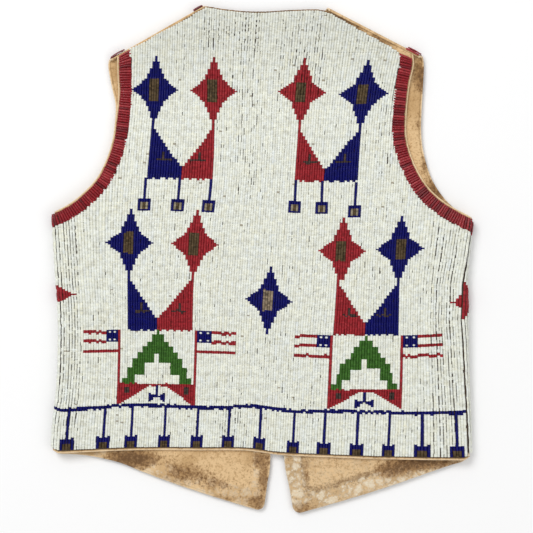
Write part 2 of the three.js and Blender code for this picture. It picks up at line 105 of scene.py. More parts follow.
HIDE = 1.4  # thickness
BEADS = 1.7
LAYER_GAP = 0.4
COVER = LAYER_GAP + BEADS
SEAM_GAP = 0.4
SIDE_RADIUS = 3.4  # of the hide's outer face round the folds
SHOULDER_RADIUS = 2.7
SIDE_SLOPE = 60  # how far in from the folds the back has sunk to its lowest level
SHOULDER_SLOPE = 30
UNDERARM = 40  # the height above which the side folds end
UNEVEN = 0.8  # how far the level part of the back swells
EDGE = 1.5  # of bare hide, outside the beads
HEM_EDGE = 2.7
NECK_EDGE = 0.8
ARM_BAND = 9.4
FRONT_BAND = 7.5
FRONT_LEVEL = COVER  # of the fronts' hide over the table
BACK_LEVEL = FRONT_LEVEL + HIDE + LAYER_GAP + HIDE  # of the top of the back's hide, at its lowest
CENTRE = np.array([-0.32, 0.21, 0.0])  # of the vest's outline, on the pattern


def named_rows(names, rows):
    """A table of numbers whose columns are read by name."""
    return np.array(rows, dtype=[(name, float) for name in names.split()])


# How far the beaded side folds reach from the middle.
SIDE_FOLDS = named_rows(
    "y left right",
    [
        (-153, 166.4, 163.6),
        (-130, 165.0, 163.2),
        (-103, 161.9, 162.2),
        (-72, 160.4, 161.2),
        (-40, 160.6, 161.0),
        (-12, 162.6, 160.6),
        (12, 164.0, 162.8),
        (34, 165.6, 165.7),
    ],
)
SIDE_SEAMS = {"left": 2.6, "right": 0.4}  # the angle round each fold, from its top
SEAM_WANDER = named_rows(  # and how that angle strays up the right side
    "y turn",
    [
        (-157, 0.0), (-110, -0.2), (-67, -0.45), (-47, -0.8),
        (-20, -0.37), (-2, 0.35), (23, 0.6), (40, 0.6),
    ],
)
# The shoulder folds' outer ends, the seams' places round them, and the strips left bare beside those.
SHOULDERS = {
    "left": {"tip": (-119, 156.3), "neck": (-48, 196.8), "seam": 1.6, "bare": (0.2, 0.5)},
    "right": {"tip": (124, 158.6), "neck": (54, 194.8), "seam": 0.3, "bare": (3.6, 0.4)},
}
SIGN = {"left": -1, "right": 1}

# The armholes' cut edges between the shoulder seams, where they start some way along, and the side
# seams, where they end at the underarm's height.
ARMHOLES = {
    ("back", "left"): {
        "along_shoulder": 5.5,
        "underarm": 35,
        "edge": [
            (-113.3, 142), (-112.9, 128), (-115.0, 109), (-117.4, 93.3), (-121.6, 79.5),
            (-128.7, 64.6), (-137.4, 54.2), (-148.5, 44.6), (-160, 38),
        ],
    },
    ("back", "right"): {
        "along_shoulder": 6.5,
        "underarm": 32.4,
        "edge": [
            (117.6, 151), (114.6, 137), (112.4, 118), (111.9, 97), (115.8, 80.5),
            (123.4, 64.2), (131.4, 53.3), (141.4, 44.6), (152.6, 37.8),
        ],
    },
    ("front", "left"): {
        "along_shoulder": 0.8,
        "underarm": 35,
        "edge": [
            (-120.9, 150), (-118, 134), (-115.2, 121), (-115.6, 109), (-117.6, 93.5),
            (-121.4, 79.3), (-128, 64.2), (-136.7, 53.8), (-147.8, 44), (-158, 38),
        ],
    },
    ("front", "right"): {
        "along_shoulder": 1.6,
        "underarm": 29.5,
        "edge": [
            (125.8, 150), (125.1, 134), (124, 115), (123.7, 100), (125.2, 85),
            (129.9, 67.6), (136, 55.3), (144, 45), (152.6, 37.4), (160.3, 32.6),
        ],
    },
}

# The back's hem and neck, set against straight lines between their ends.
BACK_HEM_BOW = named_rows(
    "along rise",
    [
        (0, 0), (0.12, 2.4), (0.24, 4.0), (0.36, 4.4), (0.48, 4.7),
        (0.55, 1.9), (0.66, 0.6), (0.82, -0.5), (1, 0),
    ],
)
HEM_AT_SEAM = {"left": -151.8, "right": -156.6}
NECK_DIPS = named_rows(
    "along drop",
    [
        (0, 0), (0.06, 0.5), (0.12, 1.2), (0.21, 1.6), (0.3, 2.05), (0.45, 1.6),
        (0.54, 0.8), (0.64, -0.4), (0.73, -1.2), (0.83, -1.9), (0.9, -2.0), (1, 0),
    ],
)
NECK_CORNERS = {"left": -3, "right": 1}  # how far inside the neck points the neck's edge ends
CORNER_LIFT = 3.2  # of a hem, where it turns round a side fold
CORNER_START = 3  # from the fold's start, on the flat side
CORNER_RUN = 9


def fade(t):
    """1 at nothing, falling smoothly to 0 at 1."""
    return np.where(t >= 1, 0.0, 0.5 * (1 + np.cos(np.pi * np.clip(t, 0, 1))))


def ease(t):
    """0 below nothing and 1 above 1, with a smooth rise between."""
    t = np.clip(t, 0, 1)
    return t * t * (3 - 2 * t)


def read(table, by, of, x):
    """A smooth curve through a table's rows: the value of column of, where column by is x."""
    xs, ys = table[by], table[of]
    last = len(xs) - 1
    k = np.clip(np.searchsorted(xs, x, side="right") - 1, 0, last - 1)
    places = np.arange(last + 1)
    before, after = np.maximum(places - 1, 0), np.minimum(places + 1, last)
    slopes = (ys[after] - ys[before]) / (xs[after] - xs[before])
    step, rise = xs[k + 1] - xs[k], ys[k + 1] - ys[k]
    t = np.clip((x - xs[k]) / step, 0, 1)
    bend = (1 - t) * (slopes[k] * step - rise) - t * (slopes[k + 1] * step - rise)
    return ys[k] + t * rise + t * (1 - t) * bend


def side_axis(side, y):
    """How far from the middle a side fold starts, at a height."""
    return read(SIDE_FOLDS, "y", side, np.asarray(y, float)) - SIDE_RADIUS - COVER


shoulder_axes = {}
for side, shoulder in SHOULDERS.items():
    tip, neck = np.array(shoulder["tip"], float), np.array(shoulder["neck"], float)
    along = (neck - tip) / np.linalg.norm(neck - tip)
    out = -SIGN[side] * np.array([-along[1], along[0]])
    shoulder_axes[side] = {
        "start": tip - SHOULDER_RADIUS * out,
        "along": along,
        "out": out,
        "length": np.linalg.norm(neck - tip),
    }


def beyond_shoulder(side, points):
    """How far pattern points lie beyond the line where a shoulder fold starts."""
    return (points - shoulder_axes[side]["start"]) @ shoulder_axes[side]["out"]


def on_shoulder(side, along, beyond):
    """Pattern points so far along that line, from the armhole, and beyond it."""
    axis = shoulder_axes[side]
    along, beyond = np.broadcast_arrays(np.asarray(along, float), np.asarray(beyond, float))
    return axis["start"] + along[..., None] * axis["along"] + beyond[..., None] * axis["out"]


def back_lift(x, y):
    """How far the back's hide stands above its lowest level, where it rises to its folds."""
    rise = 0.0
    flat = 1.0
    for side, sign in SIGN.items():
        here = (x < 0) == (sign < 0)
        inward = np.maximum(0, side_axis(side, np.minimum(y, UNDERARM)) - np.abs(x))
        by_side = fade(np.hypot(inward, np.maximum(0, y - UNDERARM)) / SIDE_SLOPE) * here
        axis = shoulder_axes[side]
        from_x, from_y = x - axis["start"][0], y - axis["start"][1]
        reach = from_x * axis["along"][0] + from_y * axis["along"][1]
        over = from_x * axis["out"][0] + from_y * axis["out"][1]
        past = np.maximum(0, np.maximum(-reach, reach - axis["length"]))
        by_shoulder = fade(np.hypot(past, np.maximum(0, -over)) / SHOULDER_SLOPE) * here
        rise = rise + (FRONT_LEVEL + 2 * SIDE_RADIUS - BACK_LEVEL) * by_side
        rise = rise + (FRONT_LEVEL + 2 * SHOULDER_RADIUS - BACK_LEVEL) * by_shoulder
        flat = flat * (1 - by_side) * (1 - by_shoulder)
    swell = 0.5 + 0.25 * (np.sin(x / 31 + 0.7) + np.sin(y / 44 - x / 90))
    return rise + UNEVEN * swell * flat


def place(face, points):
    """Where pattern points lie on the hide's outer face, and which way it looks. face is 1 on the back
    and -1 on a front."""
    x, y = points[:, 0], points[:, 1]
    spot = np.zeros((len(points), 3))
    normal = np.zeros((len(points), 3))
    spot[:, :2] = points
    if face < 0:
        spot[:, 2] = FRONT_LEVEL
        normal[:, 2] = -1
    else:
        probe = 0.5  # how far to each side the slope is taken
        spot[:, 2] = BACK_LEVEL + back_lift(x, y)
        normal[:, 0] = (back_lift(x - probe, y) - back_lift(x + probe, y)) / (2 * probe)
        normal[:, 1] = (back_lift(x, y - probe) - back_lift(x, y + probe)) / (2 * probe)
        normal[:, 2] = 1
        normal /= np.linalg.norm(normal, axis=1)[:, None]

    def roll(where, axis_point, out, arc, radius):
        """Bends points round a fold, and runs on level where they pass half a turn."""
        angle = arc / radius
        turned = angle < np.pi
        facing = np.where(turned[:, None], np.sin(angle)[:, None] * out, 0.0)
        lift = np.where(turned, face * np.cos(angle), -face)
        run = np.where(turned[:, None], facing * radius, (np.pi * radius - arc)[:, None] * out)
        spot[where, :2] = axis_point + run
        spot[where, 2] = FRONT_LEVEL + radius + lift * radius
        normal[where, :2] = facing
        normal[where, 2] = lift

    for side, sign in SIGN.items():
        here = (x < 0) == (sign < 0)
        over = beyond_shoulder(side, points)
        shoulder = here & (over > 0) & (y > UNDERARM)
        if shoulder.any():
            out = shoulder_axes[side]["out"][None, :]
            arc = over[shoulder]
            roll(shoulder, points[shoulder] - arc[:, None] * out, out, arc, SHOULDER_RADIUS)
        axis = side_axis(side, y)
        edge = here & ~shoulder & (np.abs(x) > axis)
        if edge.any():
            middle = np.stack([sign * axis[edge], y[edge]], 1)
            roll(edge, middle, np.array([[sign, 0.0]]), (np.abs(x) - axis)[edge], SIDE_RADIUS)
    return spot, normal


def side_seam(panel, side, y):
    """Pattern points of a panel's edge along its side seam."""
    y = np.asarray(y, float)
    angle = SIDE_SEAMS[side]
    if side == "right":
        angle = angle + np.interp(y, SEAM_WANDER["y"], SEAM_WANDER["turn"])
    if panel == "front":
        angle = np.pi - angle
    return np.stack([SIGN[side] * (side_axis(side, y) + SIDE_RADIUS * angle - SEAM_GAP / 2), y], -1)


def shoulder_seam_arc(panel, side):
    """How far beyond the shoulder fold's start a panel reaches, to its shoulder seam."""
    seam = SHOULDERS[side]["seam"]
    return (seam if panel == "back" else np.pi * SHOULDER_RADIUS - seam) - SEAM_GAP / 2


def cut_edge(points, start_along, end_along, inward):
    """A cut edge as a smooth curve, with a way to step in from it that turns to follow the seams at its
    ends. The function returned takes shares of the edge's length, and the steps."""
    points = np.array(points, float)
    padded = np.vstack([points[0], points, points[-1]])
    t = np.linspace(0, 1, 60, endpoint=False)[:, None]
    pieces = []
    for a, b, c, d in zip(padded, padded[1:], padded[2:], padded[3:]):
        v0, v1 = (c - a) / 2, (d - b) / 2
        third, second = 2 * b - 2 * c + v0 + v1, 3 * c - 3 * b - 2 * v0 - v1
        pieces.append(third * t**3 + second * t**2 + v0 * t + b)
    curve = np.vstack([*pieces, points[-1:]])
    lengths = np.concatenate([[0], np.cumsum(np.linalg.norm(np.diff(curve, axis=0), axis=1))])
    shares = lengths / lengths[-1]

    def at(share):
        return np.stack([np.interp(share, shares, column) for column in curve.T], -1)

    def normal_at(share):
        step = 0.002
        tangent = at(np.minimum(share + step, 1)) - at(np.maximum(share - step, 0))
        tangent /= np.linalg.norm(tangent, axis=-1, keepdims=True)
        return inward * np.stack([-tangent[..., 1], tangent[..., 0]], -1)

    def square(along, normal):
        return along / (along @ normal)

    turn = 0.09  # the share of the edge's length, from either end, in which its steps turn

    def edge(share, step):
        share = np.atleast_1d(np.asarray(share, float))
        way = normal_at(share)
        near = fade(share / turn)[:, None]
        way = way + (square(start_along, normal_at(np.array(0.0))) - way) * near
        near = fade((1 - share) / turn)[:, None]
        way = way + (square(end_along, normal_at(np.array(1.0))) - way) * near
        return at(share) + way * np.asarray(step, float).reshape(-1, 1)

    edge.length = lengths[-1]
    return edge


def armhole_edge(panel, side):
    """An armhole's edge, from the shoulder seam to the side seam."""
    hole = ARMHOLES[panel, side]
    first = on_shoulder(side, hole["along_shoulder"], shoulder_seam_arc(panel, side))
    last = side_seam(panel, side, hole["underarm"])
    down = side_seam(panel, side, hole["underarm"] - ARM_BAND - EDGE) - last
    points = [first, *hole["edge"], last]
    return cut_edge(points, shoulder_axes[side]["along"], down / np.linalg.norm(down), -SIGN[side])


LANES = {"side": 18, "armhole": 13, "shoulder": 4}  # of beads, up the back's three runs
LANE_COUNT = sum(LANES.values())
UNDERARM_LANE = LANES["side"]  # where the side seams end
TIP_LANE = LANES["side"] + LANES["armhole"]  # where the shoulders start


def shoulder_share(side, edge, step, reach, low=0.0, high=0.3):
    """The share of a cut edge's length, between low and high, at which the curve a step in from it is a
    given reach beyond the shoulder fold's start."""
    t = np.linspace(low, high, 600)
    found = beyond_shoulder(side, edge(t, step))
    order = np.argsort(found)
    return float(np.interp(reach, found[order], t[order]))


def back_ends(side, beaded, lanes):
    """The ends, at one side, of the back's rows, for heights given in lanes from the hem."""
    step = EDGE + ARM_BAND + SEAM_GAP if beaded else 0.0
    edge = armhole_edge("back", side)
    hem = HEM_AT_SEAM[side] + (HEM_EDGE if beaded else 0)
    corner = edge(1, step)[0, 1]
    bare_tip, bare_neck = SHOULDERS[side]["bare"] if beaded else (0, 0)
    arc = shoulder_seam_arc("back", side)
    top = shoulder_share(side, edge, step, arc - bare_tip) if beaded else 0.0
    start = edge(top, step)[0]
    along_start = (start - shoulder_axes[side]["start"]) @ shoulder_axes[side]["along"]
    length = shoulder_axes[side]["length"]
    neck = length - NECK_CORNERS[side]
    t = np.linspace(top, 1, 800)
    heights = edge(t, step)[:, 1]
    points = side_seam("back", side, hem + (corner - hem) * np.clip(lanes / UNDERARM_LANE, 0, 1))
    share = np.clip((lanes - UNDERARM_LANE) / LANES["armhole"], 0, 1)
    wanted = corner + (start[1] - corner) * share
    by_arm = edge(np.interp(wanted, heights[::-1], t[::-1]), step)
    share = np.clip((lanes - TIP_LANE) / LANES["shoulder"], 0, 1)
    along = along_start + (neck - along_start) * share
    by_shoulder = on_shoulder(side, along, arc - (bare_tip + (bare_neck - bare_tip) * along / length))
    points = np.where((lanes > UNDERARM_LANE)[:, None], by_arm, points)
    return np.where((lanes > TIP_LANE)[:, None], by_shoulder, points)


def corner_rise(points):
    """How far a hem rises where it turns round the side folds."""
    x, y = points[..., 0], points[..., 1]
    axis = np.where(x < 0, side_axis("left", y), side_axis("right", y))
    return CORNER_LIFT * ease((np.abs(x) - axis + CORNER_START) / CORNER_RUN)


def back_rows(u, ends, lanes, beaded):
    """Pattern points at shares u of rows between two ends, with the hem's bow and the neck's dip."""
    points = ends[0] + (ends[1] - ends[0]) * u[..., None]
    hem_hold = np.clip(1 - lanes / UNDERARM_LANE, 0, 1)
    points[..., 1] += hem_hold * corner_rise(points)
    neck_hold = np.clip((lanes - TIP_LANE) / LANES["shoulder"], 0, 1)
    points[..., 1] += hem_hold * read(BACK_HEM_BOW, "along", "rise", np.clip(u, 0, 1))
    drop = read(NECK_DIPS, "along", "drop", np.clip(u, 0, 1))
    points[..., 1] -= neck_hold * ((NECK_EDGE if beaded else 0) + drop)
    return points


def close_to_ends(count, first, length):
    """Shares of a length in mm, closest together at both ends, where the first two are first apart."""
    near = np.cumsum([0, first, first, 1.4 * first, 2 * first, 3 * first]) / length
    between = np.linspace(near[-1], 1 - near[-1], count - 10)[1:-1]
    return np.concatenate([near, between, (1 - near)[::-1]])


RAGGED = 0.12  # how far a cut edge strays, as cut by hand
RAGGED_WIDTH = 2


def hide_shell(name, face, columns, rows, pattern, open_rows):
    """A hide as a closed shell: pattern gives the points for shares across and for rows. It comes with
    its points on the pattern, how far each is from a cut edge, and which are on the inner face. The cut
    edges are the first row, the rows that open_rows gives for each side, and a top that it names."""
    bm = bmesh.new()
    bmesh.ops.create_grid(bm, x_segments=len(columns) - 1, y_segments=len(rows) - 1, size=1)
    bmesh.ops.extrude_face_region(bm, geom=bm.faces[:])
    bm.verts.ensure_lookup_table()
    flat = np.array([v.co[:2] for v in bm.verts])
    u = np.interp((flat[:, 0] + 1) / 2, np.linspace(0, 1, len(columns)), columns)
    v = np.interp((flat[:, 1] + 1) / 2, np.linspace(0, 1, len(rows)), rows)
    points = pattern(u, v)
    share = np.linspace(0, 1, 500)
    rims = [pattern(share, np.full_like(share, rows[0]))]
    for end, (low, high) in open_rows.items():
        if end == "top":
            rims.append(pattern(share, np.full_like(share, rows[-1])))
        else:
            up = np.linspace(low, high, 900)
            rims.append(pattern(np.full_like(up, end), up))
    rims = np.vstack(rims)
    dx = points[:, None, 0] - rims[None, :, 0]
    dy = points[:, None, 1] - rims[None, :, 1]
    rim = np.sqrt((dx**2 + dy**2).min(1))
    spot, normal = place(face, points)
    inner = np.arange(len(u)) >= len(columns) * len(rows)
    ragged = RAGGED * np.sin(points[:, 0] * 1.7 + points[:, 1] * 2.3) * np.sin(points[:, 1] * 0.9)
    spot = spot - normal * np.where(inner, HIDE, 0.0)[:, None]
    spot[:, 1] += ragged * fade(rim / RAGGED_WIDTH)
    for vert, at in zip(bm.verts, (spot - CENTRE) / 1000):
        vert.co = at
    bmesh.ops.recalc_face_normals(bm, faces=bm.faces[:])
    mesh = bpy.data.meshes.new(name)
    bm.to_mesh(mesh)
    bm.free()
    mesh.shade_smooth()
    piece = bpy.data.objects.new(name, mesh)
    bpy.context.scene.collection.objects.link(piece)
    return piece, points, rim, inner


def paint(mesh, name, values):
    """Keeps a number for each of a mesh's points, for its material to read."""
    layer = mesh.attributes.new(name, "FLOAT", "POINT")
    layer.data.foreach_set("value", np.asarray(values, np.float32))


BLOT_COLUMNS = "x y wide tall dark"
RIM_LIMIT = 30  # the farthest from a cut edge that is told apart


def blots(points, stains):
    """How dark a set of soft oval stains makes each point."""
    dark = np.zeros(len(points))
    for row in stains:
        away = np.hypot((points[:, 0] - row["x"]) / row["wide"], (points[:, 1] - row["y"]) / row["tall"])
        dark += row["dark"] * np.exp(-(away**2))
    return dark


class Wire:
    """A shader socket that takes Python's arithmetic, adding a Math node for each operation."""

    def __init__(self, finish, socket):
        self.finish = finish
        self.socket = socket

    def math(self, operation, first, second):
        return self.finish.node("Math", {0: first, 1: second}, operation=operation)

    def __add__(self, other):
        return self.math("ADD", self, other)

    def __radd__(self, other):
        return self.math("ADD", other, self)

    def __sub__(self, other):
        return self.math("SUBTRACT", self, other)

    def __rsub__(self, other):
        return self.math("SUBTRACT", other, self)

    def __mul__(self, other):
        return self.math("MULTIPLY", self, other)

    def __rmul__(self, other):
        return self.math("MULTIPLY", other, self)


class Finish:
    """A material with its shader. node() adds any other node, its settings first."""

    def __init__(self, name, **constants):
        self.material = bpy.data.materials.new(name)
        self.material.use_nodes = True
        self.tree = self.material.node_tree
        self.shader = self.tree.nodes["Principled BSDF"]
        for socket, value in constants.items():
            self.shader.inputs[socket.replace("_", " ")].default_value = value

    def node(self, kind, sockets, out=0, **settings):
        node = self.tree.nodes.new("ShaderNode" + kind)
        for name, value in settings.items():
            setattr(node, name, value)
        for key, value in sockets.items():
            self.feed(node.inputs[key], value)
        return Wire(self, node.outputs[out])

    def feed(self, socket, value):
        if isinstance(value, Wire):
            self.tree.links.new(value.socket, socket)
        elif isinstance(value, tuple) and len(value) == 3 and socket.type == "RGBA":
            socket.default_value = (*value, 1)
        else:
            socket.default_value = value

    def where(self):
        return self.node("TexCoord", {}, out="Object")

    def noise(self, scale, detail=2.0, rough=0.5):
        inputs = {"Vector": self.where(), "Scale": scale, "Detail": detail, "Roughness": rough}
        return self.node("TexNoise", inputs, out=0)

    def warp(self, scale, reach):
        """A vector that wanders from place to place, by up to about half of reach in metres."""
        inputs = {"Vector": self.where(), "Scale": scale, "Detail": 2.0}
        wander = self.node("TexNoise", inputs, out=1)
        return self.node("VectorMath", {0: wander, "Scale": reach}, operation="SCALE")

    def kept(self, name, out="Fac"):
        return self.node("Attribute", {}, out=out, attribute_name=name)

    def between(self, value, low, high):
        """0 below low and 1 above high."""
        inputs = {"Value": value, "From Min": low, "From Max": high, "To Min": 0.0, "To Max": 1.0}
        return self.node("MapRange", inputs, interpolation_type="SMOOTHSTEP")

    def mix(self, share, first, second, **settings):
        return self.node("Mix", {0: share, 6: first, 7: second}, out=2, data_type="RGBA", **settings)

    def wear(self, **sockets):
        for socket, value in sockets.items():
            self.feed(self.shader.inputs[socket.replace("_", " ")], value)
        return self.material


TAN = linear(224, 190, 143)
DEEP_TAN = linear(197, 161, 113)
GREY_TAN = linear(202, 184, 154)
STAIN = linear(98, 68, 38)
BROWN_TAN = linear(152, 114, 70)
CHALK = linear(232, 219, 194)
# painted highlight: the pale colour given to the rim along the hide's cut edges
RIM_HIGHLIGHT = linear(242, 218, 182)
SHADE = linear(84, 66, 52)


def suede(name, greyness):
    """Tanned hide: mottled tan with a fine nap, brown where it is stained, pale where it is rubbed or
    its surface has flaked, with a painted highlight along its cut edges and painted shade under the
    beads."""
    hide = Finish(name, Specular_IOR_Level=0.15, Sheen_Weight=0.2, Sheen_Roughness=0.6)
    broad, patch = hide.noise(45, 4, 0.6), hide.noise(150, 5, 0.7)
    fine, blotch = hide.noise(620, 4, 0.75), hide.noise(300, 5, 0.8)

    # Mottled tan, greyer where the surface has flaked.
    colour = hide.mix(hide.between(broad, 0.4, 0.68), TAN, DEEP_TAN)
    colour = hide.mix(hide.between(blotch, 0.35, 0.7) * hide.kept("flake") * greyness, colour, GREY_TAN)
    colour = hide.mix(hide.between(patch + (fine - 0.5) * 0.7, 0.46, 0.7) * 0.7, colour, DEEP_TAN)
    colour = hide.mix(hide.between(fine + (blotch - 0.5) * 0.8, 0.48, 0.72) * 0.55, colour, BROWN_TAN)

    # Flakes: pale scraps of surface that are left on a strip along the cut edge, browner past it.
    warped = hide.node("VectorMath", {0: hide.where(), 1: hide.warp(420, 0.004)}, operation="ADD")
    cells = {"Vector": warped, "Scale": 125.0}
    cell = hide.node("TexVoronoi", cells, out="Color", feature="F1")
    border = hide.node("TexVoronoi", cells, out="Distance", feature="DISTANCE_TO_EDGE")
    rim = hide.kept("rim") + (patch - 0.5) * 1.2
    peeled = hide.kept("flake")
    strip = peeled * (1 - hide.between(rim + (blotch - 0.5) * 4, 12, 14))
    edging = peeled * hide.between(rim + (blotch - 0.5) * 6, 11, 14) * (1 - hide.between(rim, 14, 21))
    bared = hide.between(edging * patch * 1.5 + strip * 0.5 + (fine - 0.5) * 1.2, 0.3, 1.0)
    colour = hide.mix(bared * 0.6, colour, STAIN)
    chosen = hide.between(cell + (patch - 0.5) * 0.7, 0.2, 0.3)
    flake = strip * chosen * hide.between(border + (fine - 0.5) * 0.5, 0.0, 0.22)
    colour = hide.mix(flake * hide.between(fine * 1.5 + blotch * 0.5, 0.6, 1.25), colour, CHALK)

    # Stains, brown with darker hearts, and small flecks.
    soaked = hide.kept("stain") * 1.35
    dark = hide.between(soaked + (blotch - 0.5) * 1.6 + (fine - 0.5) * 0.8, 0.1, 0.8)
    colour = hide.mix(dark * 0.85, colour, BROWN_TAN)
    deep = hide.between(soaked * 0.9 + (blotch - 0.5) * 4.6 + (fine - 0.5) * 1.6, 0.3, 1.5)
    colour = hide.mix(deep * dark * 0.9, colour, STAIN)
    fleck = hide.between(hide.noise(420, 2, 0.5), 0.7, 0.76)
    colour = hide.mix(fleck * 0.35, colour, STAIN)

    # The cut edge: a pale rim painted as the highlight where light catches the rolled edge, a faint dark
    # line inside it, and painted shade on the hide under the beads.
    line = hide.between(rim, 1.1, 1.5) * (1 - hide.between(rim, 1.7, 2.3))
    colour = hide.mix(line * (1 - peeled) * 0.35, colour, STAIN)
    # painted highlight along the cut edge, where light catches the rolled hide
    pale = (1 - hide.between(rim, 0.5, 1.0)) * (1 - dark)
    colour = hide.mix(pale * (0.7 - peeled * 0.45), colour, RIM_HIGHLIGHT)
    # painted shade: the hide under the beads is painted dark, for the shade that falls between and under
    # them
    colour = hide.mix(hide.kept("under"), colour, SHADE)
    nap = hide.noise(1500, 3, 0.7) + fine * 0.6 + flake * 0.8
    bump = hide.node("Bump", {"Strength": 0.5, "Distance": 0.0006, "Height": nap}, out=0)
    return hide.wear(Base_Color=colour, Roughness=0.8 + patch * 0.18, Normal=bump)


# The grid's rows and columns crowd at the cut edges. The corners at the armholes' ends are rows too.
back_lanes = np.union1d(LANE_COUNT * close_to_ends(84, 0.6, 350), [UNDERARM_LANE, TIP_LANE])
back_columns = close_to_ends(74, 0.6, 325)


def back_cut(u, lanes):
    ends = [back_ends(side, False, lanes) for side in SIGN]
    return back_rows(u, ends, lanes, False)


arm_lanes = (UNDERARM_LANE, TIP_LANE)
BACK_CUTS = {0: arm_lanes, 1: arm_lanes, "top": (LANE_COUNT, LANE_COUNT)}  # the armholes and the neck
back_hide, back_points, rim, inner = hide_shell(
    "back_hide_suede", 1, back_columns, back_lanes, back_cut, BACK_CUTS,
)
bare = np.zeros(len(back_points))  # 1 on the bare strips beside the shoulder seams
for side, sign in SIGN.items():
    axis, shoulder = shoulder_axes[side], SHOULDERS[side]["bare"]
    along = (back_points - axis["start"]) @ axis["along"] / axis["length"]
    strip = shoulder_seam_arc("back", side) - (shoulder[0] + (shoulder[1] - shoulder[0]) * along)
    here = (back_points[:, 0] < 0) == (sign < 0)
    bare += here * (beyond_shoulder(side, back_points) > strip - 0.5)
SHADE_UNDER_BEADS_FROM = {"back": 1.9, "front": 2.2}  # how far in from a cut edge the painted shade under the beads starts
paint(back_hide.data, "rim", np.clip(rim, 0, RIM_LIMIT))
# painted shade: "under" marks the hide that lies under the back's beads, which the suede paints dark as
# shade
paint(back_hide.data, "under", (rim > SHADE_UNDER_BEADS_FROM["back"]) * (bare == 0) * ~inner)
paint(back_hide.data, "flake", np.zeros(len(rim)))
BACK_BLOTS = named_rows(
    BLOT_COLUMNS,
    [
        (-50, 188, 22, 6, 0.4),
        (-8, 191.5, 22, 3.5, 1.2),
        (30, 193.5, 28, 3.5, 0.9),
        (-38, 195, 16, 3.5, 0.7),
        (72, 186, 18, 6, 1.1),
        (98, 173, 16, 7, 0.9),
        (60, 191, 14, 6, 0.7),
        (0, -152, 200, 3, 0.12),
    ],
)
paint(back_hide.data, "stain", blots(back_points, BACK_BLOTS))
back_hide.data.materials.append(suede("back suede", 0.1))
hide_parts("back_hide")
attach(back_hide, "root")


# ---- The fronts' hides ----
# Two more pieces of the same hide, each with an armhole, half a V neck and a hem that runs down to a
# point. They lie under the back, flesh side up, stained and rubbed, and fold over at the seams.

OPENINGS = {
    "left": [
        (0.4, -197.4), (3.4, -176), (5.9, -154), (4.6, -90), (1, 10),
        (-3, 78), (-12, 115), (-28, 158), (-42, 192),
    ],
    "right": [
        (24.2, -199.8), (20.6, -178), (16.4, -154), (13.6, -90), (10, 10),
        (7, 78), (15, 115), (32, 158), (46.5, 191),
    ],
}
FRONT_HEM_BOWS = {
    "left": named_rows(
        "along rise",
        [(0, 0), (0.14, 5.0), (0.3, 7.0), (0.42, 4.8), (0.6, 2.2), (0.8, 0.7), (1, 0)],
    ),
    "right": named_rows(
        "along rise",
        [(0, 0), (0.25, -0.6), (0.5, -0.4), (0.75, 1.2), (0.9, 1.8), (1, 0)],
    ),
}
TIP_ROUND = 6.5  # how far from a front's point its rounding starts
FRONT_BEADS_OVER = 1.5  # how far round the shoulder folds the fronts' beads reach
KNEE = 0.6  # the share of an opening's edge that lies below the underarm's row
NECK_SHARES = (0.7, 1.0)  # of an opening's edge, in which it crosses the shoulder fold
NECK_OVERRUN = 2  # how far an opening's edge runs past the neck point


def opening_edge(side):
    """A front's opening edge, from its point at the hem to the shoulder seam."""
    past_neck = shoulder_axes[side]["length"] + NECK_OVERRUN
    points = [*OPENINGS[side], on_shoulder(side, past_neck, shoulder_seam_arc("front", side))]
    hem = side_seam("front", side, HEM_AT_SEAM[side]) - np.array(OPENINGS[side][0])
    return cut_edge(points, hem / np.linalg.norm(hem), -shoulder_axes[side]["along"], -SIGN[side])


def front_cut(side, beaded):
    """The pattern of a front: a function of shares from its armhole side to its opening, and of rows
    that run 0 to 1 below the armhole, 1 to 2 beside it and 2 to 3 over the shoulder fold."""
    arm, opening = armhole_edge("front", side), opening_edge(side)
    arm_step = EDGE + ARM_BAND + SEAM_GAP if beaded else 0.0
    open_step = EDGE + FRONT_BAND + SEAM_GAP if beaded else 0.0
    arm_axis = shoulder_share(side, arm, arm_step, 0)
    open_axis = shoulder_share(side, opening, open_step, 0, *NECK_SHARES)
    arm_top, open_top = 0.0, 1.0
    if beaded:
        arm_top = shoulder_share(side, arm, arm_step, FRONT_BEADS_OVER)
        open_top = shoulder_share(side, opening, open_step, FRONT_BEADS_OVER, *NECK_SHARES)
    hem = HEM_AT_SEAM[side] + (HEM_EDGE if beaded else 0)
    corner = arm(1, arm_step)[0, 1]

    def cut(u, v):
        up, beside, over = np.clip(v, 0, 1), np.clip(v - 1, 0, 1), np.clip(v - 2, 0, 1)
        arm_share = 1 + (arm_axis - 1) * beside + (arm_top - arm_axis) * over
        by_seam = side_seam("front", side, hem + (corner - hem) * up)
        start = np.where((v <= 1)[:, None], by_seam, arm(arm_share, arm_step))
        open_share = open_axis * (KNEE * up + (1 - KNEE) * beside) + (open_top - open_axis) * over
        points = start + (opening(open_share, open_step) - start) * u[:, None]
        along = u if side == "left" else 1 - u
        rise = read(FRONT_HEM_BOWS[side], "along", "rise", along) + (HEM_EDGE * u if beaded else 0)
        points[:, 1] += (1 - up) * (rise + corner_rise(points))
        return points

    cut.tops = arm_top, open_top
    return cut


def round_point(cut):
    """The same cut with its point at the hem rounded off."""
    point, by_hem, by_opening = cut(np.array([1.0, 0.95, 1.0]), np.array([0.0, 0.0, 0.04]))
    ways = np.array([by_hem - point, by_opening - point])
    ways /= np.linalg.norm(ways, axis=1)[:, None]

    def rounded(u, v):
        points = cut(u, v)
        steps = (points - point) @ np.linalg.inv(ways) / TIP_ROUND
        near = (steps < 1).all(1)
        left = 1 - np.clip(steps[near], 0, 1)
        drawn = 1 - left * np.sqrt(1 - left[:, ::-1] ** 2 / 2)
        points[near] = point + drawn * TIP_ROUND @ ways
        return points

    return rounded


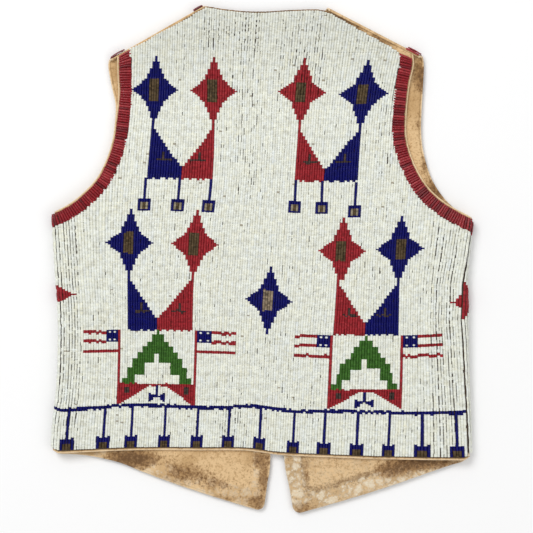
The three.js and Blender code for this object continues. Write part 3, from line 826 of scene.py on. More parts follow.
FRONT_BLOTS = {
    "left": named_rows(
        BLOT_COLUMNS,
        [
            (-110, -155, 14, 6, 0.9),
            (-94, -157, 14, 7, 0.9),
            (-82, -165, 6, 3.5, -1.0),
            (-69, -166, 12, 8, 0.5),
            (-50, -168, 15, 8, 0.55),
            (-34, -176, 10, 5, 0.5),
            (-2, -157, 9, 6, 0.85),
            (1, -172, 5, 10, 0.75),
            (-4, -190, 8, 6, 0.7),
            (-40, -187, 30, 3, 0.4),
            (-25, -160, 26, 9, -0.25),
            (-119, 120, 3, 40, 0.15),
        ],
    ),
    "right": named_rows(
        BLOT_COLUMNS,
        [
            (132, -158, 22, 6, 0.9),
            (98, -165, 14, 6, 0.85),
            (114, -160, 14, 5, 0.7),
            (34, -168, 3, 14, 0.6),
            (30, -195, 10, 5, 0.55),
            (60, -166, 30, 10, -0.25),
            (123, 142, 5, 12, 1.0),
            (122, 106, 4, 9, 0.4),
            (136, 54, 9, 9, 0.9),
            (127, 74, 4, 9, 0.6),
            (150, 40, 9, 4, 0.7),
        ],
    ),
}
# How far the strip along a front's cut edges has flaked, how grey it is there, and the hide's area.
FRONTS = {
    "left": {"flaked": 0.55, "greyness": 0.15, "area": 0.0498},
    "right": {"flaked": 1.0, "greyness": 0.65, "area": 0.0483},
}
FLAKES_BELOW = -100  # the height below which it has flaked
FRONT_CUTS = {0: (1, 3), 1: (0, 3)}  # the armhole and the opening

hem_rows = close_to_ends(50, 0.6, 190)
hem_rows = hem_rows[hem_rows < 0.98]  # close together at the hem alone
front_rows = np.concatenate([hem_rows, np.linspace(1, 2, 31)[:-1], np.linspace(2, 3, 12)])
front_columns = close_to_ends(48, 0.6, 155)
for side, look in FRONTS.items():
    name = "front_hide_" + side + "_suede"
    shape = round_point(front_cut(side, False))
    piece, points, rim, inner = hide_shell(name, -1, front_columns, front_rows, shape, FRONT_CUTS)
    mesh = piece.data
    paint(mesh, "rim", np.clip(rim, 0, RIM_LIMIT))
    beaded = beyond_shoulder(side, points) < FRONT_BEADS_OVER
    # painted shade: "under" marks the hide that lies under a front's beads, which the suede paints dark
    # as shade
    paint(mesh, "under", (rim > SHADE_UNDER_BEADS_FROM["front"]) * ~inner * beaded)
    paint(mesh, "flake", look["flaked"] * (points[:, 1] < FLAKES_BELOW))
    paint(mesh, "stain", blots(points, FRONT_BLOTS[side]))
    mesh.materials.append(suede("front suede " + side, look["greyness"]))
    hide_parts("front_hide_" + side)
    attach(piece, "root")
    "front_beadwork_" + side


# ---- The back's beadwork ----
# Opaque glass seed beads in lane stitch: strings of eight beads lie side by side across each lane, and
# the lanes run across the back from the hem to the neck. Coloured beads make the figures.

BEADS_A_STRING = 8
STRING_PITCH = 1.95  # between strings in the middle of the back
SIDE_PITCH = 2.2  # and at the sides, where the hide has stretched
SIDE_ZONE = 122  # how far out from the middle the wider strings start
BEAD_PITCH = 1.21  # along a string
BEAD_FILL = 0.56  # of a bead's half sizes to its pitches: over a half, so that beads touch
BEAD_END = 0.84  # of a bead's width at its ends to its width at its middle
FLATNESS = 0.84  # of a bead's height to its width, where strings are pressed together
ROW_COUNT = LANE_COUNT * BEADS_A_STRING
rng = np.random.default_rng(7)


def turn_about_string(angle):
    return Matrix.Rotation(angle, 3, "Y")


def bead_shape(sides, sweep):
    """The top of one bead, spun round its string from its profile: a short barrel."""
    bm = bmesh.new()
    profile = [bm.verts.new(at) for at in ((BEAD_END, -1, 0), (1, 0, 0), (BEAD_END, 1, 0))]
    edges = [bm.edges.new(pair) for pair in zip(profile, profile[1:])]
    start = turn_about_string((sweep - math.pi) / 2)
    bmesh.ops.rotate(bm, verts=profile, cent=(0, 0, 0), matrix=start)
    bmesh.ops.spin(
        bm, geom=profile + edges, cent=(0, 0, 0), axis=(0, -1, 0), dvec=(0, 0, 0), angle=sweep,
        steps=sides, use_merge=False, use_duplicate=False,
    )
    bmesh.ops.remove_doubles(bm, verts=bm.verts[:], dist=1e-5)
    outward = sum(face.normal.dot(face.calc_center_median()) for face in bm.faces)
    if outward < 0:
        bmesh.ops.reverse_faces(bm, faces=bm.faces[:])
    bm.verts.index_update()
    verts = np.array([v.co[:] for v in bm.verts])
    faces = np.array([[v.index for v in face.verts] for face in bm.faces])
    bm.free()
    return verts, faces


def string_up(name, shape, centres, along, normals, radii, halves, tints, plan):
    """One mesh of many beads. plan is where each lies on the flat pattern, for its map."""
    verts, faces = shape
    count, size = len(centres), len(verts)
    along = along / np.linalg.norm(along, axis=1)[:, None]
    across = np.cross(along, normals)
    across /= np.linalg.norm(across, axis=1)[:, None]
    up = np.cross(across, along)
    wide, long = radii[:, None, None], halves[:, None, None]
    ring = across[:, None, :] * verts[None, :, 0:1]
    ring = ring + up[:, None, :] * verts[None, :, 2:3] * FLATNESS
    points = centres[:, None, :] + wide * ring + long * along[:, None, :] * verts[None, :, 1:2]
    points = ((points - CENTRE) / 1000).reshape(-1, 3)
    corners = (faces[None] + size * np.arange(count)[:, None, None]).reshape(-1)
    mesh = bpy.data.meshes.new(name)
    mesh.vertices.add(len(points))
    mesh.vertices.foreach_set("co", points.astype(np.float32).ravel())
    mesh.loops.add(len(corners))
    mesh.loops.foreach_set("vertex_index", corners.astype(np.int32))
    mesh.polygons.add(count * len(faces))
    loop_starts = np.arange(0, len(corners), faces.shape[1], dtype=np.int32)
    mesh.polygons.foreach_set("loop_start", loop_starts)
    mesh.update(calc_edges=True)
    mesh.shade_smooth()
    tint = mesh.attributes.new("tint", "FLOAT_COLOR", "POINT")
    shades = np.concatenate([np.repeat(tints, size, axis=0), np.ones((count * size, 1))], 1)
    tint.data.foreach_set("color", shades.astype(np.float32).ravel())
    offset = np.concatenate([wide * verts[None, :, 0:1], long * verts[None, :, 1:2]], -1)
    flat = (plan[:, None, :] + offset).reshape(-1, 2)
    low, span = flat.min(0), np.ptp(flat, axis=0).max()
    layout = mesh.uv_layers.new(name="OFBake")
    layout.uv.foreach_set("vector", ((flat[corners] - low) / span).astype(np.float32).ravel())
    piece = bpy.data.objects.new(name, mesh)
    bpy.context.scene.collection.objects.link(piece)
    return piece


def glass(name, rough, dull, shine=0.14):
    """Opaque glazed glass that takes its colour bead by bead, dulled a little by old dust."""
    beads = Finish(name, IOR=1.5, Specular_IOR_Level=shine)
    dust = beads.between(beads.noise(260, 4, 0.6), 0.4, 0.75)
    tint = beads.kept("tint", "Color")
    colour = beads.mix(dust * dull, tint, linear(204, 200, 190), blend_type="MULTIPLY")
    speck = beads.noise(2400, 2, 0.5)
    bump = beads.node("Bump", {"Strength": 0.15, "Distance": 0.0001, "Height": speck}, out=0)
    return beads.wear(Base_Color=colour, Roughness=rough + dust * 0.25, Normal=bump)


half_bead = bead_shape(3, math.radians(200))

# Kinds of beads: their colours, and how far single beads stray from them.
WHITE, BLUE, RED, GREEN, BRASS, PALE, BROWN, WORN_BRASS = range(8)
KINDS = {
    WHITE: {"colour": linear(231, 233, 223), "stray": 0.045},
    BLUE: {"colour": linear(5, 7, 89), "stray": 0.12},
    RED: {"colour": linear(146, 36, 43), "stray": 0.14},
    GREEN: {"colour": linear(56, 98, 35), "stray": 0.14},
    BRASS: {"colour": linear(80, 65, 44), "stray": 0.25},
    PALE: {"colour": linear(140, 130, 108), "stray": 0.2},
    BROWN: {"colour": linear(62, 50, 46), "stray": 0.2},
    WORN_BRASS: {"colour": linear(132, 117, 98), "stray": 0.3},
}
BEAD_COLOURS = np.array([kind["colour"] for kind in KINDS.values()])
BEAD_STRAY = np.array([kind["stray"] for kind in KINDS.values()])

SEAM_TOP = UNDERARM - 8  # the height where strings stop following the side seams


def seam_reach(side, y):
    """How far the back's beads reach from the middle: to the side seam, or straight up from it."""
    return np.abs(side_seam("back", side, np.minimum(y, SEAM_TOP))[..., 0])


SEAM_ROOM = 1.25  # from the outermost strings' middles to the side seam


def string_places():
    """Where strings cross the back at height 0, from side to side."""
    halves = []
    for side, sign in SIGN.items():
        middle = (np.arange(round(SIDE_ZONE / STRING_PITCH)) + 0.5) * STRING_PITCH
        room = seam_reach(side, 0.0) - SEAM_ROOM - middle[-1]
        count = round(room / SIDE_PITCH)
        outer = middle[-1] + room * (np.arange(count) + 1) / count
        halves.append(sign * np.concatenate([middle, outer]))
    return np.concatenate([halves[0][::-1], halves[1]])


# How far a string leans to the right for each mm up it, by height, at four places across.
LEAN_PLACES = [-95, -45, 45, 93]
LEANS = np.array(
    [
        (-148, 0.085, 0.07, 0.055, 0.05),
        (-112, 0.03, 0.04, 0.05, 0.04),
        (-78, 0.02, 0.03, 0.05, 0.02),
        (-55, 0.0, 0.02, 0.09, 0.02),
        (-31, -0.01, 0.02, 0.09, 0.02),
        (-9, 0.01, 0.1, 0.05, 0.04),
        (13, 0.04, 0.05, 0.05, 0.06),
        (26, 0.05, 0.1, 0.05, 0.08),
        (46, 0.06, 0.12, 0.02, 0.1),
        (64, 0.075, 0.07, 0.06, 0.06),
        (85, 0.09, 0.03, 0.09, 0.05),
        (108, 0.1, 0.0, 0.08, 0.09),
        (131, 0.03, 0.01, 0.1, 0.17),
        (155, 0.04, 0.03, 0.13, 0.22),
    ]
)
SIDE_HOLD = 105  # from here out, strings turn to follow the sides
SIDE_TURN = 45  # and do so fully, this far on

# How far the rows lie below straight lines from side to side, by the share of the way across.
DROOPS = named_rows(
    "along drop",
    [(0, 0), (0.19, 0), (0.35, 0.7), (0.5, 2.2), (0.69, 3.8), (0.86, 2.7), (1, 0)],
)
DROOP_START, DROOP_END = 7, 14  # lanes in which they grow from the hem, and fade to the neck

shift_heights = np.arange(-220.0, 221.0)
shifts = []
for column in LEANS.T[1:]:
    total = np.cumsum(np.interp(shift_heights, LEANS[:, 0], column))
    shifts.append(total - np.interp(0, shift_heights, total))


def string_shift(x, y):
    """How far a string has moved sideways at a height, from its place at height 0."""
    lean = np.zeros(np.broadcast(x, y).shape)
    for k, total in enumerate(shifts):
        share = np.interp(x, LEAN_PLACES, np.eye(len(shifts))[k])
        lean = lean + share * np.interp(y, shift_heights, total)
    moved = 0.0
    for side, sign in SIGN.items():
        near = ease((sign * x - SIDE_HOLD) / SIDE_TURN)
        moved = moved + sign * near * (seam_reach(side, y) - seam_reach(side, 0.0))
        lean = lean * (1 - near)
    return lean + moved


def droop(u, lanes):
    """How far a row lies below the straight line between its ends."""
    hold = np.clip(lanes / DROOP_START, 0, 1) * np.clip((LANE_COUNT - lanes) / DROOP_END, 0, 1)
    return hold * read(DROOPS, "along", "drop", np.clip(u, 0, 1))


strings = string_places()
bead_lanes = (np.arange(ROW_COUNT) + 0.5) / BEADS_A_STRING
row_ends = [back_ends(side, True, bead_lanes) for side in SIGN]
row_widths = (row_ends[1][:, 0] - row_ends[0][:, 0])[:, None]


def back_places():
    """Pattern points of the back's beads, a row for each row of them, and their shares of its width."""
    x = strings[None, :] + np.zeros((ROW_COUNT, 1))
    hold = np.broadcast_to(bead_lanes[:, None], x.shape)
    ends = [end[:, None, :] for end in row_ends]
    spots = x
    for _ in range(4):
        u = (spots - ends[0][..., 0]) / row_widths
        level = back_rows(u, ends, hold, True)[..., 1] - droop(u, hold)
        spots = x + string_shift(x, level)
    return np.stack([spots, level], -1), u


back_grid, back_shares = back_places()
from_end = np.minimum(back_shares, 1 - back_shares) * row_widths
ROOM = {0: 1.1, UNDERARM_LANE: -1.0, TIP_LANE: 0.6}  # between beads and a row's ends, by first lane
inside = np.zeros(from_end.shape, bool)  # the beads that are strung; a few tuck under the armhole lanes
for first_lane, least in ROOM.items():
    inside = np.where(bead_lanes[:, None] > first_lane, from_end > least, inside)


WAVER = 0.35  # how far flat edges of figures stray, string by string, in rows


class Chart:
    """The colours of a field of beads by row and string, with where the beads lie on the pattern."""

    def __init__(self, places):
        self.places = places
        self.kinds = np.full(places.shape[:2], WHITE)
        self.waver = rng.normal(0, WAVER, places.shape[1])[None, :]

    def seen_from(self, x, y):
        """How many strings each bead lies to the right of the bead nearest a place, and how far above
        that bead's row, in beads."""
        reach = np.abs(self.places[..., 0] - x) + np.abs(self.places[..., 1] - y)
        row, string = np.unravel_index(np.argmin(reach), reach.shape)
        across = np.arange(self.places.shape[1])[None, :] - string
        up = (self.places[..., 1] - self.places[row, :, 1][None, :]) / BEAD_PITCH
        return np.broadcast_to(across, up.shape), up

    def fill(self, where, kind):
        self.kinds[where] = kind


# Four-pointed stars: side points that narrow evenly, arms above and below that narrow in steps, and a
# brass centre.
STAR_MIDDLE = 6.8  # rows from a star's middle to where its upper and lower arms start
STAR_ARM = 3.5  # strings to each side there
STAR_STEP = 3.8  # rows in each step of an arm
STAR_REACH = 9.4  # strings to each side at its middle
STAR_SHELF = 0.6  # strings by which its side points stand out from the arms


def star(chart, x, y, kind, upper=4, lower=3, brass=0, metal=BRASS):
    """A star round a place, with as many steps as given in its upper and lower arms. Its brass centre
    is four strings wide, and brass moves it sideways by as many strings."""
    across, up = chart.seen_from(x, y)
    rows = np.abs(up)
    point = STAR_REACH - (rows / STAR_MIDDLE) * (STAR_REACH - STAR_ARM - STAR_SHELF)
    arm = STAR_ARM - np.floor((rows - STAR_MIDDLE) / STAR_STEP)
    half = np.where(rows <= STAR_MIDDLE, point, arm)
    longest = STAR_MIDDLE + STAR_STEP * np.where(up > 0, upper, lower)
    chart.fill((np.abs(across) <= half) & (rows <= longest), kind)
    chart.fill((across >= brass - 2) & (across <= brass + 1) & (rows <= STAR_MIDDLE), metal)


back_chart = Chart(back_grid)
STARS = [
    {"x": -84.3, "y": 131.7, "kind": BLUE},
    {"x": -38.4, "y": 131.5, "kind": RED},
    {"x": 30.4, "y": 130.1, "kind": RED},
    {"x": 79.2, "y": 128.2, "kind": BLUE},
    {"x": -104.7, "y": 12.8, "kind": BLUE},
    {"x": -52.1, "y": 11.9, "kind": RED},
    {"x": 60.8, "y": 6.4, "kind": RED},
    {"x": 106.9, "y": 7.6, "kind": BLUE, "brass": 1},
    {"x": 5.5, "y": -32.5, "kind": BLUE, "lower": 4, "metal": WORN_BRASS},
]
for row in STARS:
    star(back_chart, **row)

# Two red stars are cut by the side folds. These are their heights above and below their middles,
# string by string from the point that shows.
LEFT_STAR_ROWS = [0.5, 0.5, 1, 2.3, 3.6, 4.4, 5, 5.5, 5.5]
SIDE_STARS = {
    "left": {"tip": (-147.0, -27.3), "above": LEFT_STAR_ROWS, "below": LEFT_STAR_ROWS},
    "right": {
        "tip": (147.0, -34.0),
        "above": [0.5, 1, 2.5, 4.5, 9, 15, 15],
        "below": [0.5, 1, 3, 4, 8, 10, 9],
    },
}
for side, sign in SIGN.items():
    side_star = SIDE_STARS[side]
    across, up = back_chart.seen_from(*side_star["tip"])
    for step, (above, below) in enumerate(zip(side_star["above"], side_star["below"])):
        back_chart.fill((across == sign * step) & (up <= above) & (up >= -below), RED)

# Under each pair of stars, two ramps meet on a shared base. Their upright edges stand under the stars,
# and each holds a small brown mark: a dash with a tick on it.
RAMPS = [
    {"left": -84.3, "right": -38.4, "base": 63.2, "meet": -63.5, "star": 131.7, "kinds": (BLUE, RED)},
    {"left": 30.4, "right": 78.3, "base": 60.9, "meet": 47.5, "star": 129.0, "kinds": (RED, BLUE)},
    {"left": -104.7, "right": -52.1, "base": -55.2, "meet": -80.8, "star": 12.5, "kinds": (BLUE, RED)},
    {"left": 60.8, "right": 106.9, "base": -59.6, "meet": 81.0, "star": 8.0, "kinds": (RED, BLUE)},
]
RAMP_RISE = 34  # rows
RAMP_BAND = 7  # rows of the shared base
STEM_RISE = 14  # rows of the single string above a ramp
MARK_PLACE = 5  # strings in from a ramp's upright edge
MARK_HEIGHT = 12.5  # rows above the base
MARK_DASH = (-2, 3)  # strings
MARK_TICK = 5  # rows
LINE_HALF = 0.6  # rows, of the thinnest flat line
for ramp in RAMPS:
    from_left, _ = back_chart.seen_from(ramp["left"], ramp["star"])
    from_right, _ = back_chart.seen_from(ramp["right"], ramp["star"])
    from_meet, up = back_chart.seen_from(ramp["meet"], ramp["base"])
    lowest = 0.6 * back_chart.waver
    for away, kind, half in (
        (from_left, ramp["kinds"][0], from_meet <= -1),
        (-from_right, ramp["kinds"][1], from_meet >= 0),
    ):
        full = away[half & (away >= 0)].max()
        wide = (full + 0.5) * np.clip((RAMP_RISE - up) / (RAMP_RISE - RAMP_BAND), 0, 1)
        solid = (away >= 0) & (away <= wide) & (up >= lowest) & (up <= RAMP_RISE)
        back_chart.fill(solid & half, kind)
        back_chart.fill((away == 0) & (up > RAMP_BAND) & (up < RAMP_RISE + STEM_RISE), kind)
        mark = away - MARK_PLACE
        dash = (mark >= MARK_DASH[0]) & (mark <= MARK_DASH[1])
        dash &= np.abs(up - MARK_HEIGHT - back_chart.waver) <= LINE_HALF
        tick = (mark == 0) & (up > MARK_HEIGHT) & (up < MARK_HEIGHT + MARK_TICK)
        back_chart.fill((dash | tick) & half, BROWN)

# From the upper ramps hang three strings with small blue boxes, brass inside.
BOXES = [
    {"x": -91.6, "base": 63.2, "top": 46.2},
    {"x": -65.9, "base": 63.2, "top": 46.0},
    {"x": -42.4, "base": 63.2, "top": 46.0},
    {"x": 24.4, "base": 61.3, "top": 44.9},
    {"x": 45.2, "base": 60.9, "top": 43.4},
    {"x": 72.4, "base": 60.3, "top": 41.4},
]
BOX_REACH = 2  # strings to each side
BOX_ROWS = 7.3
BOX_INSIDE = (1.3, 6.6)  # rows below the box's top
for row in BOXES:
    across, up = back_chart.seen_from(row["x"], row["top"])
    back_chart.fill((across == 0) & (up > 0) & (up < (row["base"] - row["top"]) / BEAD_PITCH), BLUE)
    back_chart.fill((np.abs(across) <= BOX_REACH) & (up <= 0) & (up > -BOX_ROWS), BLUE)
    within = (np.abs(across) < BOX_REACH) & (up < -BOX_INSIDE[0]) & (up > -BOX_INSIDE[1])
    back_chart.fill(within, PALE)
    back_chart.fill(within & (across == 0), BRASS)

# Stepped green hills between two flag poles, over a red base and a small blue forked figure. Each flag
# is given by the strings that its blue field and its stripes reach out from the pole.
HILLS = [
    {
        "x": -82.0, "y": -55.2, "wide": 1.05, "base": 13.8,
        "poles": (-16, 16), "flags": [(5, 14), (6, 16)],
    },
    {
        "x": 80.9, "y": -60.7, "wide": 0.93, "base": 12.3,
        "poles": (-13, 14), "flags": [(5, 14), (6, 15)],
    },
]
HILL_STEPS = [
    {"from": 0.0, "half": 0.9},
    {"from": 2.4, "half": 2.7},
    {"from": 6.9, "half": 4.6},
    {"from": 10.5, "half": 6.3},
    {"from": 14.0, "half": 8.1},
    {"from": 17.6, "half": 9.8},
    {"from": 24.0, "half": 11.6},
    {"from": 30.7, "half": 13.4},
]
HOLLOW_STEPS = [{"from": 14.6, "half": 0.6}, {"from": 21.0, "half": 5.4}, {"from": 28.2, "half": 9.2}]
HILL_FOOT = 34.6  # rows below the top
BASE_LINE = (-0.4, 1.3)  # rows round the hills' foot
FLAG_FIELD = (-0.2, 7.4)  # rows below the pole's top
FIELD_SPOTS = (1.3, 5.9)
STRIPES = [{"down": 0.8, "under": False}, {"down": 6.7, "under": False}, {"down": 13.0, "under": True}]
STRIPE_HALF = 1.0
EYE = {"in": 3, "down": 4, "half": 2.1}  # a brown spot inside each foot of a pole
FORK = [
    {"out": 0, "from": 1.2, "to": 8.2},
    {"out": 1, "from": 7.0, "to": 8.8},
    {"out": 2, "from": 6.6, "to": 10.2},
    {"out": 3, "from": 6.0, "to": 11.2},
]


def stepped(steps, down, across):
    """Which beads lie within the reach, in strings, of the step that their row is on."""
    half = np.full(down.shape, -1.0)
    for step in steps:
        half = np.where(down >= step["from"], step["half"], half)
    return np.abs(across) <= half


for hill in HILLS:
    across, up = back_chart.seen_from(hill["x"], hill["y"])
    down = -up
    narrowed = across / hill["wide"]
    back_chart.fill(stepped(HILL_STEPS, down, narrowed) & (down <= HILL_FOOT), GREEN)
    hollow = stepped(HOLLOW_STEPS, down, narrowed) | ((across == -1) & (down >= HOLLOW_STEPS[0]["from"]))
    back_chart.fill(hollow & (down <= HILL_FOOT), WHITE)
    low, high = hill["poles"]
    between = (across >= low) & (across <= high)
    line = down - HILL_FOOT - 0.7 * back_chart.waver
    back_chart.fill(between & (line > BASE_LINE[0]) & (line <= BASE_LINE[1]), RED)
    reach = np.maximum(low - across, across - high) + hill["base"]
    back_chart.fill(between & (down > HILL_FOOT) & (down <= HILL_FOOT + reach), RED)
    ragged = down + 0.5 * back_chart.waver
    for way, pole, (field_end, stripe_end) in zip((-1, 1), hill["poles"], hill["flags"]):
        back_chart.fill((across == pole) & (down >= 0) & (down <= HILL_FOOT + hill["base"]), RED)
        away = (across - pole) * way
        eye = (away == -EYE["in"]) | (away == -EYE["in"] - 1)
        back_chart.fill(eye & (np.abs(down - HILL_FOOT - EYE["down"]) <= EYE["half"]), BROWN)
        field = (away >= 1) & (away <= field_end)
        back_chart.fill(field & (down >= FLAG_FIELD[0]) & (down <= FLAG_FIELD[1]), BLUE)
        for spot in FIELD_SPOTS:
            corner = (away == 2) | (away == field_end - 1)
            back_chart.fill(corner & (np.abs(down - spot) < 0.5), WHITE)
        for stripe in STRIPES:
            start = 1 if stripe["under"] else field_end + 1
            flown = (away >= start) & (away <= stripe_end)
            back_chart.fill(flown & (np.abs(ragged - stripe["down"]) < STRIPE_HALF), RED)
    for tine in FORK:
        below = down - HILL_FOOT
        reached = (np.abs(across) == tine["out"]) & (below > tine["from"]) & (below <= tine["to"])
        back_chart.fill(reached, BLUE)

# Along the hem, a blue line with strings that hang from it to a row of boxes.
HEM_LINE = named_rows(  # rows above the beads' lower edge
    "x rows",
    [
        (-161, 25.4), (-150, 25.8), (-130, 26.4), (-106, 27.3), (-82, 26.6), (-64, 25.8), (-33, 25.4),
        (-2, 27.0), (29, 26.7), (68, 28.0), (122, 28.0), (146, 28.6), (157, 28.8),
    ],
)
HEM_LINE_HALF = 1.15  # rows
HEM_BOX = 6.7  # rows
HEM_BOX_WALL = 2.6  # rows of blue over a hem box's brass
HEM_BOX_HORNS = 0.7  # by which a box's side strings stand higher
HEM_STRINGS_AT = -140  # the height that their places are given for
HEM_STRINGS = [-152.8, -125.4, -103.3, -77.1, -51.8, -27.2, -1.9, 23.0, 47.5, 73.7, 98.7, 123.2, 150.9]
above_hem = (back_grid[..., 1] - back_grid[0, :, 1][None, :]) / BEAD_PITCH + 0.5
hem_line = read(HEM_LINE, "x", "rows", back_grid[..., 0])
back_chart.fill(np.abs(above_hem - hem_line - 0.8 * back_chart.waver) <= HEM_LINE_HALF, BLUE)
for x in HEM_STRINGS:
    across, _ = back_chart.seen_from(x, HEM_STRINGS_AT)
    back_chart.fill((across == 0) & (above_hem > HEM_BOX) & (above_hem < hem_line), BLUE)
    top = HEM_BOX + HEM_BOX_HORNS * (np.abs(across) == BOX_REACH)
    back_chart.fill((np.abs(across) <= BOX_REACH) & (above_hem < top), BLUE)
    back_chart.fill((np.abs(across) < BOX_REACH) & (above_hem < HEM_BOX - HEM_BOX_WALL), BRASS)


BATCHES = 400  # of white beads, which differ a little in warmth
WARMTH = 0.6  # how much of that difference is a batch's, and as much again a bead's own
DIRTY_SHARE = 0.0015
DIRT = (0.5, 0.45, 0.4)


def bead_tints(kinds, string, lane):
    """A colour for each bead. White ones stray from cream to a cooler white, and a few are dirty."""
    stray = BEAD_STRAY[kinds] * np.clip(rng.normal(0, 1, len(kinds)), -2, 2)
    tint = BEAD_COLOURS[kinds] * (1 + stray)[:, None]
    white = kinds == WHITE
    batches = rng.normal(0, 1, BATCHES)
    own = rng.normal(0, 1, len(kinds))
    warm = (WARMTH * batches[(string * 7 + lane * 13) % BATCHES] + WARMTH * own)[:, None]
    tint[white] *= 1 + warm[white] * np.array([0.01, 0.0, -0.03])
    dirty = white & (rng.random(len(kinds)) < DIRTY_SHARE)
    tint[dirty] *= np.array(DIRT)
    return np.clip(tint, 0, 1)


SEAT = 0.42  # from the beads' own gap over the hide up to the middles of a string's end beads
ARCH = 0.36  # and how far its middle beads stand above those


def lay_strings(face, points, along_step, phase, lift, jitter):
    """Centres, directions and normals of beads on the hide, arched up over each lane."""
    arch = LAYER_GAP + SEAT + ARCH * np.sin(np.pi * phase)
    slope = ARCH * np.pi * np.cos(np.pi * phase) / (BEADS_A_STRING * BEAD_PITCH)
    spot, normal = place(face, points)
    probe = 0.4  # how far each way the hide's direction is taken
    ahead, _ = place(face, points + along_step * probe)
    behind, _ = place(face, points - along_step * probe)
    along = ahead - behind
    along /= np.linalg.norm(along, axis=1)[:, None]
    centres = spot + normal * (arch + lift)[:, None] + jitter
    return centres, along + normal * slope[:, None], normal


# Where the hide has stretched, strings have parted and the hide shows between them, dark with the shade
# painted on it under the beads.
PARTED = [
    {"from": -160, "to": -142, "low": -200, "high": 60, "share": 0.55},
    {"from": 129, "to": 153, "low": -200, "high": 40, "share": 0.5},
    {"from": -48, "to": -26, "low": 150, "high": 200, "share": 0.3},
    {"from": -20, "to": 0, "low": 150, "high": 200, "share": 0.35},
    {"from": 12, "to": 52, "low": 120, "high": 200, "share": 0.2},
    {"from": -28, "to": 2, "low": 40, "high": 215, "share": 0.1},
    {"from": -40, "to": -10, "low": -160, "high": -100, "share": 0.12},
    {"from": 30, "to": 45, "low": -160, "high": -100, "share": 0.12},
    {"from": 88, "to": 112, "low": 60, "high": 150, "share": 0.14},
]
SPECKS = 0.018  # the share of beads, elsewhere, that leave a gap beside them
ZONE_SIDE, ZONE_END = 5, 25  # how far inside its edges a zone is at its full share
GAP_SHIFT = 0.19  # how far a parted bead moves away, and how much narrower it is
GAP_SQUEEZE = 0.06  # and narrower still, under the thread
TUCK_ROOM = 0.9  # from a row's ends, inside which beads tuck under
TUCK = 0.4
SWAY = 0.06  # how far strings stray sideways, lane by lane
SLIP = 0.05  # beads along their strings
HEAVE = 0.04  # strings up and down
JITTER = 0.02  # and beads every way
NECK_DARKENING, NECK_DARKENING_FROM, NECK_DARKENING_RUN = 0.09, 110, 70  # how far bead colours are made darker towards the neck, and where
PART_STARTS = [12, 23]  # the lanes at which the middle and the upper part of the field start


def parting(points):
    """How likely a string is to have parted from the next, at places on the pattern."""
    likely = np.full(points.shape[:-1], SPECKS)
    x, y = points[..., 0], points[..., 1]
    for zone in PARTED:
        across = ease((x - zone["from"]) / ZONE_SIDE) * ease((zone["to"] - x) / ZONE_SIDE)
        rising, falling = ease((y - zone["low"]) / ZONE_END), ease((zone["high"] - y) / ZONE_END)
        likely += zone["share"] * across * rising * falling
    return likely


row, string = np.nonzero(inside)
lane = row // BEADS_A_STRING
phase = (row % BEADS_A_STRING + 0.5) / BEADS_A_STRING
sway = (SWAY * np.clip(rng.normal(0, 1, (LANE_COUNT, len(strings))), -2, 2))[lane, string]
upward = np.gradient(back_grid, axis=0)
pitches = np.linalg.norm(upward, axis=-1)[row, string]
upward = upward[row, string] / pitches[:, None]
widths = np.linalg.norm(np.gradient(back_grid, axis=1), axis=-1)[row, string]  # of strings
points = back_grid[row, string]
# Chances are drawn for pairs of beads and for half strings, so gaps are short and long.
chance = np.minimum(
    rng.random((ROW_COUNT // 2, len(strings)))[row // 2, string],
    rng.random((ROW_COUNT // 4, len(strings)))[row // 4, string] * 1.7,
)
apart = chance < parting(points)
slack = GAP_SHIFT * apart
side_of_gap = rng.choice([-1, 1], len(strings))[string]
points = points + np.stack([sway + side_of_gap * slack, rng.normal(0, SLIP, len(row))], 1)
tucked = from_end[row, string] < TUCK_ROOM
lift = HEAVE * np.clip(rng.normal(0, 1, (LANE_COUNT, len(strings))), -2, 2)[lane, string]
lift = lift - TUCK * tucked
jitter = rng.normal(0, JITTER, (len(row), 3))
centres, along, normals = lay_strings(1, points, upward, phase, lift, jitter)
tints = bead_tints(back_chart.kinds[row, string], string, lane)
# bead colours made darker towards the neck
tints *= (1 - NECK_DARKENING * ease((points[:, 1] - NECK_DARKENING_FROM) / NECK_DARKENING_RUN))[:, None]
radii = widths * BEAD_FILL * rng.normal(1, 0.02, len(row)).clip(0.95, 1.05)
radii = radii - slack - GAP_SQUEEZE * apart
halves = pitches * BEAD_FILL * rng.normal(1, 0.03, len(row)).clip(0.94, 1.06)
back_glass = glass("back beads glass", 0.3, 0.5)
thirds = np.digitize(lane, PART_STARTS)
for part, name in enumerate(["back_beads_lower", "back_beads_middle", "back_beads_upper"]):
    pick = thirds == part
    beads = [values[pick] for values in (centres, along, normals, radii, halves, tints, points)]
    piece = string_up(name, half_bead, *beads)
    piece.data.materials.append(back_glass)
    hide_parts("back_beadwork")
    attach(piece, "root")


# ---- The armhole lanes and the lanes down the fronts ----
# One lane of dark red beads follows each armhole over the shoulder, and one edges each front's opening.
# Its strings lie across the edge, close together, so that the lane looks ribbed.

RIB_PITCH = 1.94
RIB_FILL = 0.52  # of a rib's half width to its pitch
RIB_HALVES = (0.7, 1.3)  # the least and the greatest half width
RIB_BEAD_FILL = 0.55  # of a bead's half length to its pitch along the rib
RIB_BOW = 0.12  # how far a rib's middle strays along the edge
RIB_STRETCH = 0.22  # how much longer or shorter ribs are
RIB_HEAVE = 0.07
LANE_ENDS = (0.002, 0.998)  # shares of an armhole's length
OPENING_START = 0.01  # the share of an opening's length where its lane starts
red_glass = glass("red beads glass", 0.2, 0.3, 0.35)
RED_RANGE = np.array([linear(134, 22, 32), linear(106, 15, 25), linear(152, 44, 50)])
RED_SHARES = [0.5, 0.28, 0.22]


